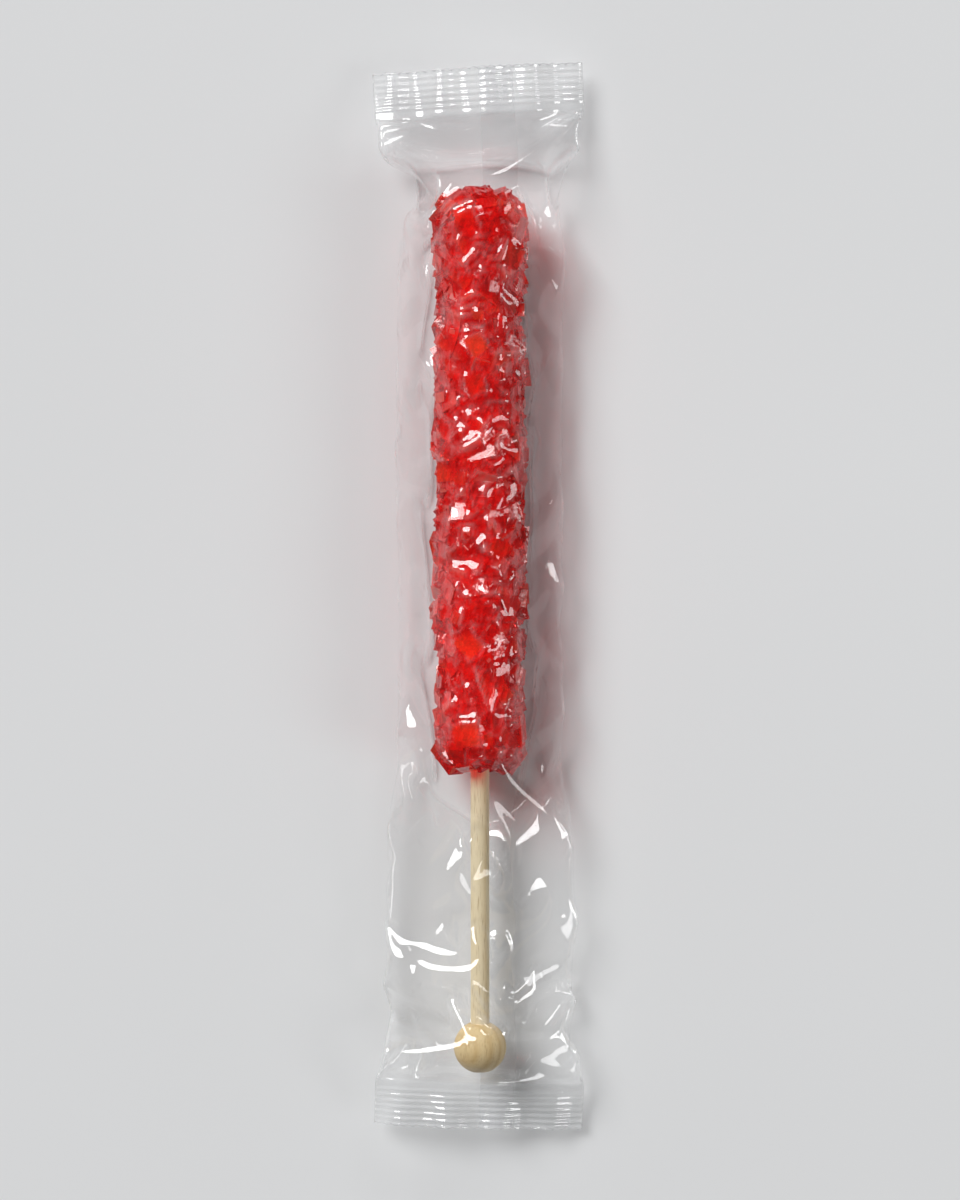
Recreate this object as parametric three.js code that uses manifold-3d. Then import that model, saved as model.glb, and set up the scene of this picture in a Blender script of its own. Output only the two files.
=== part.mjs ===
// Rock candy stick: a wooden stick with a ball at its lower end, grown over with a thick coat of red
// sugar crystals, and sealed in a clear film wrapper with a crimped seal at both ends.
// Units are millimetres. It lies on its back with the shown side up: +Y runs along the stick towards
// the candy's tip, +Z is up, and the origin is under the middle of the wrapper, on the surface it lies on.
import * as THREE from "three";
import { ConvexGeometry } from "three/addons/geometries/ConvexGeometry.js";
import { mergeVertices } from "three/addons/utils/BufferGeometryUtils.js";
import Module from "manifold-3d";

const wasm = await Module();
wasm.setup();

// Driving dimensions
const STICK_ASSEMBLY_LENGTH = 165; // candy tip to the far side of the ball
const CANDY_LENGTH = 109;
const CANDY_REACH = 9.7; // how far the outermost crystal corners stand from the stick's axis
const STICK_RADIUS = 1.75;
const BALL_RADIUS = 4.9;
const WRAPPER_LENGTH = 200;
const WRAPPER_FLAT_WIDTH = 39; // the film tube pressed flat, as it is at both seals
const FILM_WALL = 0.4; // thicker than the real film, so that it is a sound closed solid
const CLEARANCE = 0.35; // between pieces that touch in the real object

// Places worked out from them
const AXIS_HEIGHT = 10; // height of the stick's axis over the surface it lies on
const FILM_SLACK = 0.25;
const FILM_AROUND_CANDY = CANDY_REACH + CLEARANCE + FILM_WALL + FILM_SLACK;
const FLAT_UNDERSIDE = FILM_WALL + CLEARANCE; // crystals are cut off level here, over the film
const FILM_ABOVE_TIP = 23;
const CANDY_TIP = WRAPPER_LENGTH / 2 - FILM_ABOVE_TIP;
const CANDY_FOOT = CANDY_TIP - CANDY_LENGTH;
const BALL_CENTRE = CANDY_TIP - STICK_ASSEMBLY_LENGTH + BALL_RADIUS;

// Stick and ball
const STICK_SIDES = 12;
const STICK_SHORT_OF_TIP = 14; // the crystals close over the stick's end by this much
const STICK_INTO_BALL = 5;
const STICK_END_BEVEL = 0.3;
const BALL_SIDES = 20;
const BALL_FLAT_RADIUS = 1.6; // the turned ball is cut flat where it left the lathe
const BALL_STEPS = 9;

// The candy's outline
const TIP_ROUNDING = 6.5;
const FOOT_ROUNDING = 5;
const BODY_RADIUS = CANDY_REACH - 0.4; // its waves take it out to the reach in places
const FOOT_RADIUS = CANDY_REACH - 0.8;
// Shallow waves along the candy: how deep, how many radians over its length, and the angle at its tip.
const BODY_WAVES = [
  { depth: 0.22, turn: 19, start: 0.6 },
  { depth: 0.18, turn: 41, start: 2.2 },
];
const TAPER_FROM = 0.55; // share of the candy's length where it begins to thin towards its foot
const TAPER = 0.75;
const BORE_PAST_FOOT = 5;

// Crystals
const CRYSTAL_SEED = 20;
const CRYSTAL_SPACING = 5.6;
const RING_SPACING = 0.9 * CRYSTAL_SPACING;
const UNEVEN_AROUND = 0.5; // as a share of the spacing
const UNEVEN_ALONG = 0.7;
const CRYSTAL_HALF_SIZE = [1.6, 2.7]; // smallest and largest half length of a crystal's middle side
const SMALLER_ONES_MORE_OFTEN = 1.4;
const CRYSTAL_LENGTHENING = 0.35; // how much longer than its middle side a crystal may be
const CRYSTAL_THINNING = 0.25;
const CRYSTAL_NARROWING = 0.28; // how much smaller its upper face may be than its lower one
const CRYSTAL_SINK = 0.7; // how far the shortest crystals stay under the reach
const MONOCLINIC_LEAN = Math.tan(THREE.MathUtils.degToRad(13));
const CORE_UNDER_REACH = 1.7;
const CORE_SIDES = 14;
const CORE_FOOT_RISE = 0.5;

// The same pseudo-random numbers on each run.
function seededRandom(seed) {
  let state = seed >>> 0;
  return () => {
    state = (state + 0x6d2b79f5) >>> 0;
    let t = Math.imul(state ^ (state >>> 15), 1 | state);
    t = (t + Math.imul(t ^ (t >>> 7), 61 | t)) ^ t;
    return ((t ^ (t >>> 14)) >>> 0) / 4294967296;
  };
}

function solidOf(geometry) {
  const bare = geometry.index ? geometry.toNonIndexed() : geometry.clone();
  bare.deleteAttribute("normal");
  bare.deleteAttribute("uv");
  const merged = mergeVertices(bare, 1e-4);
  return new wasm.Manifold(
    new wasm.Mesh({
      numProp: 3,
      vertProperties: new Float32Array(merged.attributes.position.array),
      triVerts: new Uint32Array(merged.index.array),
    }),
  );
}

function geometryOf(solid) {
  const mesh = solid.getMesh();
  const geometry = new THREE.BufferGeometry();
  geometry.setAttribute("position", new THREE.BufferAttribute(mesh.vertProperties, 3));
  geometry.setIndex(new THREE.BufferAttribute(mesh.triVerts, 1));
  const faceted = geometry.toNonIndexed();
  faceted.computeVertexNormals();
  return faceted;
}

// Joins many overlapping solids pair by pair.
function joined(solids) {
  let left = solids;
  while (left.length > 1) {
    const pairs = [];
    for (let i = 0; i < left.length; i += 2) {
      pairs.push(i + 1 < left.length ? left[i].add(left[i + 1]) : left[i]);
    }
    left = pairs;
  }
  return left[0];
}

// Fills the hollows that joining crystals seals off, and drops scraps that hang loose.
function withoutSealedHollows(solid) {
  const shells = solid.decompose();
  return shells.reduce((most, shell) => (shell.volume() > most.volume() ? shell : most));
}

// A solid of revolution about the stick's axis. The profile is [radius, distance along +Y] pairs.
function turned(profile, sides) {
  const points = profile.map(([radius, along]) => new THREE.Vector2(radius, along));
  const geometry = new THREE.LatheGeometry(points, sides);
  return geometry.translate(0, 0, AXIS_HEIGHT);
}

// How far the crystals reach from the axis at a place along the candy's side.
function bodyReach(y) {
  const along = (CANDY_TIP - y) / CANDY_LENGTH;
  const waves = BODY_WAVES.map((wave) => wave.depth * Math.sin(along * wave.turn + wave.start));
  return BODY_RADIUS + waves[0] + waves[1] - TAPER * Math.max(0, along - TAPER_FROM);
}

// The outline in four stretches from the middle of the tip to the foot on the stick: a flat tip, a rounded
// shoulder, a long side and a rounded foot. Each is its length and a function that turns a share of it,
// from 0 to 1, into a radius, a place along the stick, and the outward direction across and along it.
function candyOutline() {
  const quarter = Math.PI / 2;
  const tipFlat = BODY_RADIUS - TIP_ROUNDING;
  const sideTop = CANDY_TIP - TIP_ROUNDING;
  const sideFoot = CANDY_FOOT + FOOT_ROUNDING;
  const footFlat = FOOT_RADIUS - FOOT_ROUNDING;
  const tip = (share) => [tipFlat * share, CANDY_TIP, 0, 1];
  const shoulder = (share) => {
    const out = Math.sin(share * quarter);
    const up = Math.cos(share * quarter);
    return [tipFlat + TIP_ROUNDING * out, sideTop + TIP_ROUNDING * up, out, up];
  };
  const side = (share) => {
    const y = sideTop + (sideFoot - sideTop) * share;
    return [bodyReach(y), y, 1, 0];
  };
  const foot = (share) => {
    const out = Math.cos(share * quarter);
    const down = Math.sin(share * quarter);
    return [footFlat + FOOT_ROUNDING * out, sideFoot - FOOT_ROUNDING * down, out, -down];
  };
  return [
    [tipFlat, tip],
    [TIP_ROUNDING * quarter, shoulder],
    [sideTop - sideFoot, side],
    [FOOT_ROUNDING * quarter, foot],
  ];
}

// One sugar crystal: a leaning block whose upper face is a little smaller than its lower one.
function crystalGeometry(random) {
  const [smallest, largest] = CRYSTAL_HALF_SIZE;
  const middle = smallest + (largest - smallest) * random() ** SMALLER_ONES_MORE_OFTEN;
  const long = middle * (1 + CRYSTAL_LENGTHENING * random());
  const thin = middle * (1 - CRYSTAL_THINNING + CRYSTAL_THINNING * random());
  const narrow = 1 - CRYSTAL_NARROWING + CRYSTAL_NARROWING * random();
  const corners = [];
  for (const [height, size] of [[-thin, 1], [thin, narrow]]) {
    for (const side of [-1, 1]) {
      for (const end of [-1, 1]) {
        corners.push(
          new THREE.Vector3(end * long * size + height * MONOCLINIC_LEAN, side * middle * size, height),
        );
      }
    }
  }
  return new ConvexGeometry(corners);
}

// Sets a crystal so that its outermost corner just meets the reach in the outward direction.
function placedCrystal(random, radius, y, out, along, around) {
  const geometry = crystalGeometry(random);
  const turn = new THREE.Quaternion().setFromEuler(
    new THREE.Euler(random() * Math.PI * 2, random() * Math.PI * 2, random() * Math.PI * 2),
  );
  geometry.applyQuaternion(turn);
  const outward = new THREE.Vector3(out * Math.cos(around), along, out * Math.sin(around));
  const corners = geometry.getAttribute("position");
  const corner = new THREE.Vector3();
  let reach = 0;
  for (let i = 0; i < corners.count; i += 1) {
    reach = Math.max(reach, corner.fromBufferAttribute(corners, i).dot(outward));
  }
  const inset = reach + CRYSTAL_SINK * random();
  geometry.translate(
    radius * Math.cos(around) - outward.x * inset,
    y - outward.y * inset,
    AXIS_HEIGHT + radius * Math.sin(around) - outward.z * inset,
  );
  return solidOf(geometry);
}

// Rings of crystals about a spacing apart, each ring offset from the last.
function crystals() {
  const random = seededRandom(CRYSTAL_SEED);
  const placed = [];
  let ring = 0;
  for (const [length, at] of candyOutline()) {
    const rings = Math.max(1, Math.round(length / RING_SPACING));
    for (let i = 0; i < rings; i += 1) {
      ring += 1;
      const share = (i + 1 / 2) / rings;
      const [usual] = at(share);
      const count = Math.max(1, Math.round((2 * Math.PI * usual) / CRYSTAL_SPACING));
      for (let k = 0; k < count; k += 1) {
        const around = ((k + (ring % 2) / 2 + UNEVEN_AROUND * (random() - 1 / 2)) / count) * Math.PI * 2;
        const shift = (UNEVEN_ALONG * (random() - 1 / 2)) / rings;
        const [radius, y, out, along] = at(THREE.MathUtils.clamp(share + shift, 0, 1));
        placed.push(placedCrystal(random, radius, y, out, along, around));
      }
    }
  }
  return placed;
}

function candyCore() {
  const under = CORE_UNDER_REACH;
  return turned(
    [
      [0, CANDY_FOOT + under],
      [FOOT_RADIUS - FOOT_ROUNDING, CANDY_FOOT + under],
      [FOOT_RADIUS - under, CANDY_FOOT + FOOT_ROUNDING + CORE_FOOT_RISE],
      [BODY_RADIUS - under, CANDY_TIP - TIP_ROUNDING],
      [BODY_RADIUS - TIP_ROUNDING, CANDY_TIP - under],
      [0, CANDY_TIP - under],
    ],
    CORE_SIDES,
  );
}

function candyGeometry() {
  let candy = joined([solidOf(candyCore()), ...crystals()]);
  const bore = turned(
    [
      [0, CANDY_FOOT - BORE_PAST_FOOT],
      [STICK_RADIUS + CLEARANCE, CANDY_FOOT - BORE_PAST_FOOT],
      [STICK_RADIUS + CLEARANCE, CANDY_TIP - STICK_SHORT_OF_TIP + CLEARANCE],
      [0, CANDY_TIP - STICK_SHORT_OF_TIP + CLEARANCE],
    ],
    STICK_SIDES,
  );
  candy = candy.subtract(solidOf(bore));
  const below = new THREE.BoxGeometry(4 * CANDY_REACH, 2 * CANDY_LENGTH, AXIS_HEIGHT);
  below.translate(0, (CANDY_TIP + CANDY_FOOT) / 2, FLAT_UNDERSIDE - AXIS_HEIGHT / 2);
  candy = candy.subtract(solidOf(below));
  return geometryOf(withoutSealedHollows(candy));
}

function stickGeometry() {
  const top = CANDY_TIP - STICK_SHORT_OF_TIP;
  const foot = BALL_CENTRE + BALL_RADIUS - STICK_INTO_BALL;
  const profile = [
    [0, foot],
    [STICK_RADIUS - STICK_END_BEVEL, foot],
    [STICK_RADIUS, foot + STICK_END_BEVEL],
    [STICK_RADIUS, top - STICK_END_BEVEL],
    [STICK_RADIUS - STICK_END_BEVEL, top],
    [0, top],
  ];
  return turned(profile, STICK_SIDES);
}

function ballGeometry() {
  const bore = STICK_RADIUS + CLEARANCE;
  const mouth = Math.asin(bore / BALL_RADIUS);
  const flat = Math.asin(BALL_FLAT_RADIUS / BALL_RADIUS);
  const floor = BALL_CENTRE + BALL_RADIUS - STICK_INTO_BALL - CLEARANCE;
  const profile = [[0, BALL_CENTRE - BALL_RADIUS * Math.cos(flat)]];
  for (let i = 0; i <= BALL_STEPS; i += 1) {
    const turn = flat + ((Math.PI - mouth - flat) * i) / BALL_STEPS;
    profile.push([BALL_RADIUS * Math.sin(turn), BALL_CENTRE - BALL_RADIUS * Math.cos(turn)]);
  }
  profile.push([bore, floor]);
  profile.push([0, floor]);
  return turned(profile, BALL_SIDES);
}

// The film wrapper: a tube of film that is round over the candy, low over the stick and ball, and pressed
// flat at both seals. Its width follows from the film's own width, which is the same all along.
const SEAL_LENGTH = 9;
const MOUTH_HALF_GAP = 0.15; // the lower seal's mouth stays open by twice this
const SEAL_HALF_THICKNESS = FILM_WALL + MOUTH_HALF_GAP;
const FILM_COLUMNS = 16;
const FILM_STATIONS = 28;
const CROWDED_TURN = (Math.PI / 2) * 0.86; // columns are spread by a sine up to this turn
const FILM_OVER_STICK = BALL_RADIUS + CLEARANCE + FILM_WALL + FILM_SLACK;
const TIP_CLOSING = 2; // the tube begins to close this far before the candy's tip
const CANDY_OPENING = [15, 1]; // it widens from this far under the candy's foot to this far over it
const BALL_CLOSING = [6, 1]; // it closes from just past the ball to this far into the seal

function smoothStep(value, from, to) {
  return THREE.MathUtils.smoothstep(value, from, to);
}

// Half the height of the film tube, measured over its outside, at a place along it.
function tubeRadius(y) {
  const half = WRAPPER_LENGTH / 2;
  const [beforeFoot, afterFoot] = CANDY_OPENING;
  const [intoSeal, pastBall] = BALL_CLOSING;
  const overTip = 1 - smoothStep(y, CANDY_TIP - TIP_CLOSING, half - SEAL_LENGTH);
  const overCandy = smoothStep(y, CANDY_FOOT - beforeFoot, CANDY_FOOT + afterFoot);
  const overBall = smoothStep(y, -half + SEAL_LENGTH - intoSeal, BALL_CENTRE - BALL_RADIUS + pastBall);
  const round = FILM_OVER_STICK + (FILM_AROUND_CANDY - FILM_OVER_STICK) * overCandy;
  return SEAL_HALF_THICKNESS + (round - SEAL_HALF_THICKNESS) * overTip * overBall;
}

// Half the width of a tube of a fixed girth once something of this radius holds it open: two arcs and
// four straight wings that meet at its two edges. It is found by halving the range it may be in.
const HALVINGS = 40;
const JUST_OVER = 1.001;
function tubeHalfWidth(radius) {
  let low = radius * JUST_OVER;
  let high = WRAPPER_FLAT_WIDTH / 2;
  for (let i = 0; i < HALVINGS; i += 1) {
    const half = (low + high) / 2;
    const wing = Math.sqrt(half * half - radius * radius);
    const arc = radius * (Math.PI - 2 * Math.acos(radius / half));
    if (4 * wing + 2 * arc < 2 * WRAPPER_FLAT_WIDTH) {
      low = half;
    } else {
      high = half;
    }
  }
  return low;
}

// Half the height of the tube at a distance from its middle.
function wingHeight(x, radius, halfWidth) {
  const touch = (radius * radius) / halfWidth;
  const away = Math.abs(x);
  if (away <= touch) {
    return Math.sqrt(radius * radius - away * away);
  }
  const heightAtTouch = Math.sqrt(radius * radius - touch * touch);
  return (heightAtTouch * (halfWidth - away)) / (halfWidth - touch);
}

// The height of the film's middle: level with the stick along the contents, drooping and wavy at the
// free edges, and curling and pleated towards the two seals.
const EDGE_DROOP = 2.6;
// Waves and pleats: how deep, how many radians over a millimetre, and the angle at the middle.
const EDGE_WAVES = [
  { depth: 1.1, turn: 0.105, start: 1.1 },
  { depth: 0.495, turn: 0.31, start: 2 },
];
const SEAL_DROOP = { tip: 2.2, ball: 3.4 };
const SEAL_SWAY = { depth: 1.5, tipTurn: 0.16, tipStart: 0.8, ballTurn: 0.13, ballStart: -0.4 };
const PLEATS = { depth: 0.65, tipTurn: 0.72, tipStart: 0.5, ballTurn: 0.66, ballStart: -1 };
function middleHeight(x, y, halfWidth) {
  const half = WRAPPER_LENGTH / 2;
  const edge = (Math.abs(x) / halfWidth) ** 2;
  const side = Math.sign(x);
  const tipEnd = smoothStep(y, CANDY_TIP - TIP_CLOSING, half);
  const ballEnd = smoothStep(-y, -BALL_CENTRE + BALL_RADIUS, half);
  const wave = (form) => form.depth * Math.sin(y * form.turn + side * form.start);
  const atTip = (form) => form.depth * Math.sin(x * form.tipTurn + form.tipStart) * tipEnd;
  const atBall = (form) => form.depth * Math.sin(x * form.ballTurn + form.ballStart) * ballEnd;
  const edgeHeight = edge * (wave(EDGE_WAVES[0]) + wave(EDGE_WAVES[1]) - EDGE_DROOP);
  const sealSway = atTip(SEAL_SWAY) - atBall(SEAL_SWAY);
  const pleats = atTip(PLEATS) + atBall(PLEATS);
  return AXIS_HEIGHT + edgeHeight + sealSway + pleats - SEAL_DROOP.tip * tipEnd - SEAL_DROOP.ball * ballEnd;
}

// The four heights of the film at one place: outside top, inside top, inside bottom, outside bottom.
function filmHeights(share, y) {
  const radius = tubeRadius(y);
  const halfWidth = tubeHalfWidth(radius);
  const x = share * halfWidth;
  const middle = middleHeight(x, y, halfWidth);
  const outer = Math.max(wingHeight(x, radius, halfWidth), SEAL_HALF_THICKNESS);
  const inner = outer - FILM_WALL;
  return {
    x,
    outerTop: middle + outer,
    innerTop: middle + inner,
    innerBottom: Math.max(middle - inner, FILM_WALL),
    outerBottom: Math.max(middle - outer, 0),
  };
}

// Columns crowd towards the film's edges, where it bends most.
function columnShare(i) {
  return Math.sin(((i / FILM_COLUMNS) * 2 - 1) * CROWDED_TURN) / Math.sin(CROWDED_TURN);
}

function wrapperGeometry() {
  const half = WRAPPER_LENGTH / 2;
  const positions = [];
  const faces = [];
  const point = (x, y, z) => {
    positions.push(x, y, z);
    return positions.length / 3 - 1;
  };
  // Each ring of points runs along the top from one edge to the other, and back along the bottom.
  const ringAt = (y, inside) => {
    const top = [];
    const bottom = [];
    for (let i = 0; i <= FILM_COLUMNS; i += 1) {
      const at = filmHeights(columnShare(i), y);
      const edge = i === 0 || i === FILM_COLUMNS;
      const x = inside && edge ? at.x - Math.sign(at.x) * FILM_WALL : at.x;
      top.push(point(x, y, inside ? at.innerTop : at.outerTop));
      bottom.push(point(x, y, inside ? at.innerBottom : at.outerBottom));
    }
    return [...top, ...bottom.reverse()];
  };
  const skin = (rings, outwards) => {
    for (let j = 0; j + 1 < rings.length; j += 1) {
      const [here, next] = outwards ? [rings[j], rings[j + 1]] : [rings[j + 1], rings[j]];
      for (let i = 0; i < here.length; i += 1) {
        const k = (i + 1) % here.length;
        faces.push(here[i], here[k], next[k], here[i], next[k], next[i]);
      }
    }
  };
  const lid = (ring, outwards) => {
    for (let i = 0; i < FILM_COLUMNS; i += 1) {
      const low = 2 * FILM_COLUMNS + 1 - i;
      const [a, b, c, d] = outwards
        ? [ring[i], ring[i + 1], ring[low - 1], ring[low]]
        : [ring[i], ring[low], ring[low - 1], ring[i + 1]];
      faces.push(a, b, c, a, c, d);
    }
  };
  const stations = (from, to, count) =>
    Array.from({ length: count + 1 }, (_, j) => from + ((to - from) * j) / count);
  const outer = stations(-half, half, FILM_STATIONS).map((y) => ringAt(y, false));
  const inner = stations(-half, half - SEAL_LENGTH, FILM_STATIONS - 2).map((y) => ringAt(y, true));
  skin(outer, true);
  skin(inner, false);
  lid(outer[outer.length - 1], true);
  lid(inner[inner.length - 1], false);
  // The mouth at the lower seal, left open by a hair, joins the outside to the inside.
  const rim = outer[0];
  const mouth = inner[0];
  for (let i = 0; i < rim.length; i += 1) {
    const k = (i + 1) % rim.length;
    faces.push(rim[k], rim[i], mouth[i], rim[k], mouth[i], mouth[k]);
  }
  const geometry = new THREE.BufferGeometry();
  geometry.setAttribute("position", new THREE.Float32BufferAttribute(positions, 3));
  geometry.setIndex(faces);
  geometry.computeVertexNormals();
  return geometry;
}

// Materials
const RED_SUGAR = new THREE.MeshStandardMaterial({
  color: 0xd3161c,
  roughness: 0.18,
  metalness: 0,
  flatShading: true,
});
const PALE_BIRCH = new THREE.MeshStandardMaterial({ color: 0xd8c294, roughness: 0.7, metalness: 0 });
const TURNED_BIRCH = new THREE.MeshStandardMaterial({ color: 0xcfb173, roughness: 0.6, metalness: 0 });
const CLEAR_FILM = new THREE.MeshStandardMaterial({
  color: 0xf2f4f6,
  roughness: 0.08,
  metalness: 0,
  transparent: true,
  opacity: 0.3,
});

function piece(name, geometry, material) {
  const mesh = new THREE.Mesh(geometry, material);
  mesh.name = name;
  return mesh;
}

const rockCandyStick = new THREE.Group();
rockCandyStick.add(piece("candy", candyGeometry(), RED_SUGAR));
rockCandyStick.add(piece("stick", stickGeometry(), PALE_BIRCH));
rockCandyStick.add(piece("ball", ballGeometry(), TURNED_BIRCH));
rockCandyStick.add(piece("wrapper", wrapperGeometry(), CLEAR_FILM));

export default rockCandyStick;
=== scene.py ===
"""A rock candy stick in its clear film: red sugar crystals, a birch stick, a turned ball and the film.

The part lies on its back. +Y runs along the stick towards the candy's tip and +Z is up. Sizes and places
are in millimetres unless their comment says otherwise, and meshes are made in metres.
"""

from __future__ import annotations

import logging
import math
from abc import ABC, abstractmethod
from collections.abc import Callable
from dataclasses import dataclass, field
from enum import Enum

import bmesh
import bpy
import numpy as np
from mathutils import Matrix, Vector
from mathutils.bvhtree import BVHTree


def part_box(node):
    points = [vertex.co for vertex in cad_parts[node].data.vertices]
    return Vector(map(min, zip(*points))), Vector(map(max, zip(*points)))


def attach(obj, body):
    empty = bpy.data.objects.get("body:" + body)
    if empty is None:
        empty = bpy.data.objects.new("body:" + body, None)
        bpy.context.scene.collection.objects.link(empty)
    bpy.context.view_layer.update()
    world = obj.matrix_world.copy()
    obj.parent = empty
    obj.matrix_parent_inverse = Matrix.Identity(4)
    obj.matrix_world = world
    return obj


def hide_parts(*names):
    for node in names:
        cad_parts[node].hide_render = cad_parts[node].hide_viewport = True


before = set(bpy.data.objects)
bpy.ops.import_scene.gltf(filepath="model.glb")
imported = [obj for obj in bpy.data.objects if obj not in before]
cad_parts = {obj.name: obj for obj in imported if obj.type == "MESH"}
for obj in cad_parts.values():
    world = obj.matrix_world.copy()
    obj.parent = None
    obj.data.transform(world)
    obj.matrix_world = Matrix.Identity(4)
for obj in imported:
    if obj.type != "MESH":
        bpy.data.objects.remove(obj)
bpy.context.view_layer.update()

log = logging.getLogger("rock_candy_stick")

MM = 0.001
FULL_TURN = 2 * math.pi
QUARTER_TURN = math.pi / 2
BODY = "root"

# Corner numbers of a box's six sides, where x runs fastest, then y, then z.
BOX_SIDES = ((2, 3, 1, 0), (4, 5, 7, 6), (0, 1, 5, 4), (1, 3, 7, 5), (3, 2, 6, 7), (2, 0, 4, 6))

Socket = bpy.types.NodeSocket
Value = float | tuple[float, ...] | Socket
Profile = list[tuple[float, float]]
Stretch = Callable[[float], tuple[float, float, float, float]]


class Slot(Enum):
    """The record's material slots."""

    CANDY = "candy"
    STICK = "stick"
    BALL = "ball"
    FILM = "film"


class Solid(Enum):
    """The CAD nodes that the pieces stand for."""

    CANDY = "candy"
    STICK = "stick"
    BALL = "ball"
    WRAPPER = "wrapper"


class End(Enum):
    """The two sealed ends of the film, by their direction along the stick."""

    TIP = 1
    BALL = -1


@dataclass(frozen=True)
class Wave:
    """A sine wave: how deep it is, its radians to a unit of length, and its angle at the middle."""

    depth: float
    turn: float
    start: float

    def at(self, place: np.ndarray, side: np.ndarray | float = 1.0) -> np.ndarray:
        """The wave's height at a place, with its start turned round where side is -1."""
        return self.depth * np.sin(place * self.turn + side * self.start)


@dataclass(frozen=True)
class Layout:
    """Places and sizes that the pieces share, read from the CAD nodes."""

    axis_height: float
    stick_radius: float
    stick_top: float
    stick_foot: float
    candy_reach: float
    candy_tip: float
    candy_foot: float
    ball_radius: float
    ball_flat_radius: float
    ball_centre: float
    film_length: float
    film_width: float

    @classmethod
    def from_frame(cls, ball_flat_radius: float = 1.6) -> Layout:
        """Reads the layout.

        Args:
            ball_flat_radius: How wide the ball is cut flat where it left the lathe.

        Returns:
            The layout in millimetres.
        """
        low, high = {}, {}
        for solid in Solid:
            low[solid], high[solid] = (Vector(corner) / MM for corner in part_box(solid.value))
        axis_height = (low[Solid.STICK].z + high[Solid.STICK].z) / 2
        ball_radius = high[Solid.BALL].x
        return cls(
            axis_height=axis_height,
            stick_radius=high[Solid.STICK].x,
            stick_top=high[Solid.STICK].y,
            stick_foot=low[Solid.STICK].y,
            candy_reach=high[Solid.CANDY].z - axis_height,
            candy_tip=high[Solid.CANDY].y,
            candy_foot=low[Solid.CANDY].y,
            ball_radius=ball_radius,
            ball_flat_radius=ball_flat_radius,
            ball_centre=low[Solid.BALL].y + math.sqrt(ball_radius**2 - ball_flat_radius**2),
            film_length=high[Solid.WRAPPER].y - low[Solid.WRAPPER].y,
            film_width=high[Solid.WRAPPER].x - low[Solid.WRAPPER].x,
        )


def smooth_step(value: np.ndarray, low: float, high: float) -> np.ndarray:
    """Rises smoothly from 0 at low to 1 at high.

    Args:
        value: Where to read the step.
        low: Where it leaves 0.
        high: Where it reaches 1.

    Returns:
        The step's height at each value.
    """
    share = np.clip((value - low) / (high - low), 0.0, 1.0)
    return share * share * (3 - 2 * share)


def mesh_object(name: str, points: np.ndarray, faces: list, smooth: bool = False) -> bpy.types.Object:
    """Makes a mesh object from points in millimetres.

    Args:
        name: The object's name.
        points: One row of x, y, z for each vertex.
        faces: Vertex numbers of each face.
        smooth: True for smooth shading.

    Returns:
        The new object, linked to the scene.
    """
    mesh = bpy.data.meshes.new(name)
    mesh.from_pydata((np.asarray(points, dtype=float).reshape(-1, 3) * MM).tolist(), [], faces)
    mesh.update()
    if smooth:
        mesh.shade_smooth()
    made = bpy.data.objects.new(name, mesh)
    bpy.context.scene.collection.objects.link(made)
    return made


def set_attribute(mesh: bpy.types.Mesh, name: str, domain: str, values: np.ndarray) -> None:
    """Writes one number for each vertex or face of a mesh.

    Args:
        mesh: The mesh to mark.
        name: The attribute that a material reads.
        domain: POINT or FACE.
        values: The numbers, in the mesh's own order.
    """
    made = mesh.attributes.get(name) or mesh.attributes.new(name, "FLOAT", domain)
    made.data.foreach_set("value", np.asarray(values, dtype=np.float32).ravel())


def grid_faces(rows: int, columns: int, closed: bool) -> list[tuple[int, int, int, int]]:
    """Faces of a grid of points, row by row.

    Args:
        rows: Number of rows.
        columns: Points in each row.
        closed: True where the last column joins the first.

    Returns:
        The quads.
    """
    across = columns if closed else columns - 1
    faces = []
    for j in range(rows - 1):
        for i in range(across):
            k = (i + 1) % columns
            faces.append((j * columns + i, j * columns + k, (j + 1) * columns + k, (j + 1) * columns + i))
    return faces


def box_corners(low: tuple[float, float, float], high: tuple[float, float, float]) -> np.ndarray:
    """The eight corners of an upright box, in the order that BOX_SIDES takes."""
    (west, south, bottom), (east, north, top) = low, high
    return np.array([(x, y, z) for z in (bottom, top) for y in (south, north) for x in (west, east)])


def turned_solid(name: str, profile: Profile, sides: int, axis_height: float) -> bpy.types.Object:
    """A closed solid of revolution about the stick's axis.

    Args:
        name: The object's name.
        profile: Radius and y from one end of the axis to the other, starting and ending on the axis.
        sides: Its number of sides.
        axis_height: The axis's height over the tabletop.

    Returns:
        The solid.
    """
    around = np.arange(sides) / sides * FULL_TURN
    rings = [
        np.stack([radius * np.cos(around), np.full(sides, y), axis_height + radius * np.sin(around)], axis=1)
        for radius, y in profile[1:-1]
    ]
    ends = [np.array([[0.0, y, axis_height]]) for _, y in (profile[0], profile[-1])]
    points = np.concatenate([ends[0], *rings, ends[1]])
    last, top = len(points) - 1, len(points) - 1 - sides
    faces = [tuple(v + 1 for v in reversed(face)) for face in grid_faces(len(rings), sides, closed=True)]
    faces += [(0, 1 + i, 1 + (i + 1) % sides) for i in range(sides)]
    faces += [(last, top + (i + 1) % sides, top + i) for i in range(sides)]
    return mesh_object(name, points, faces)


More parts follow.
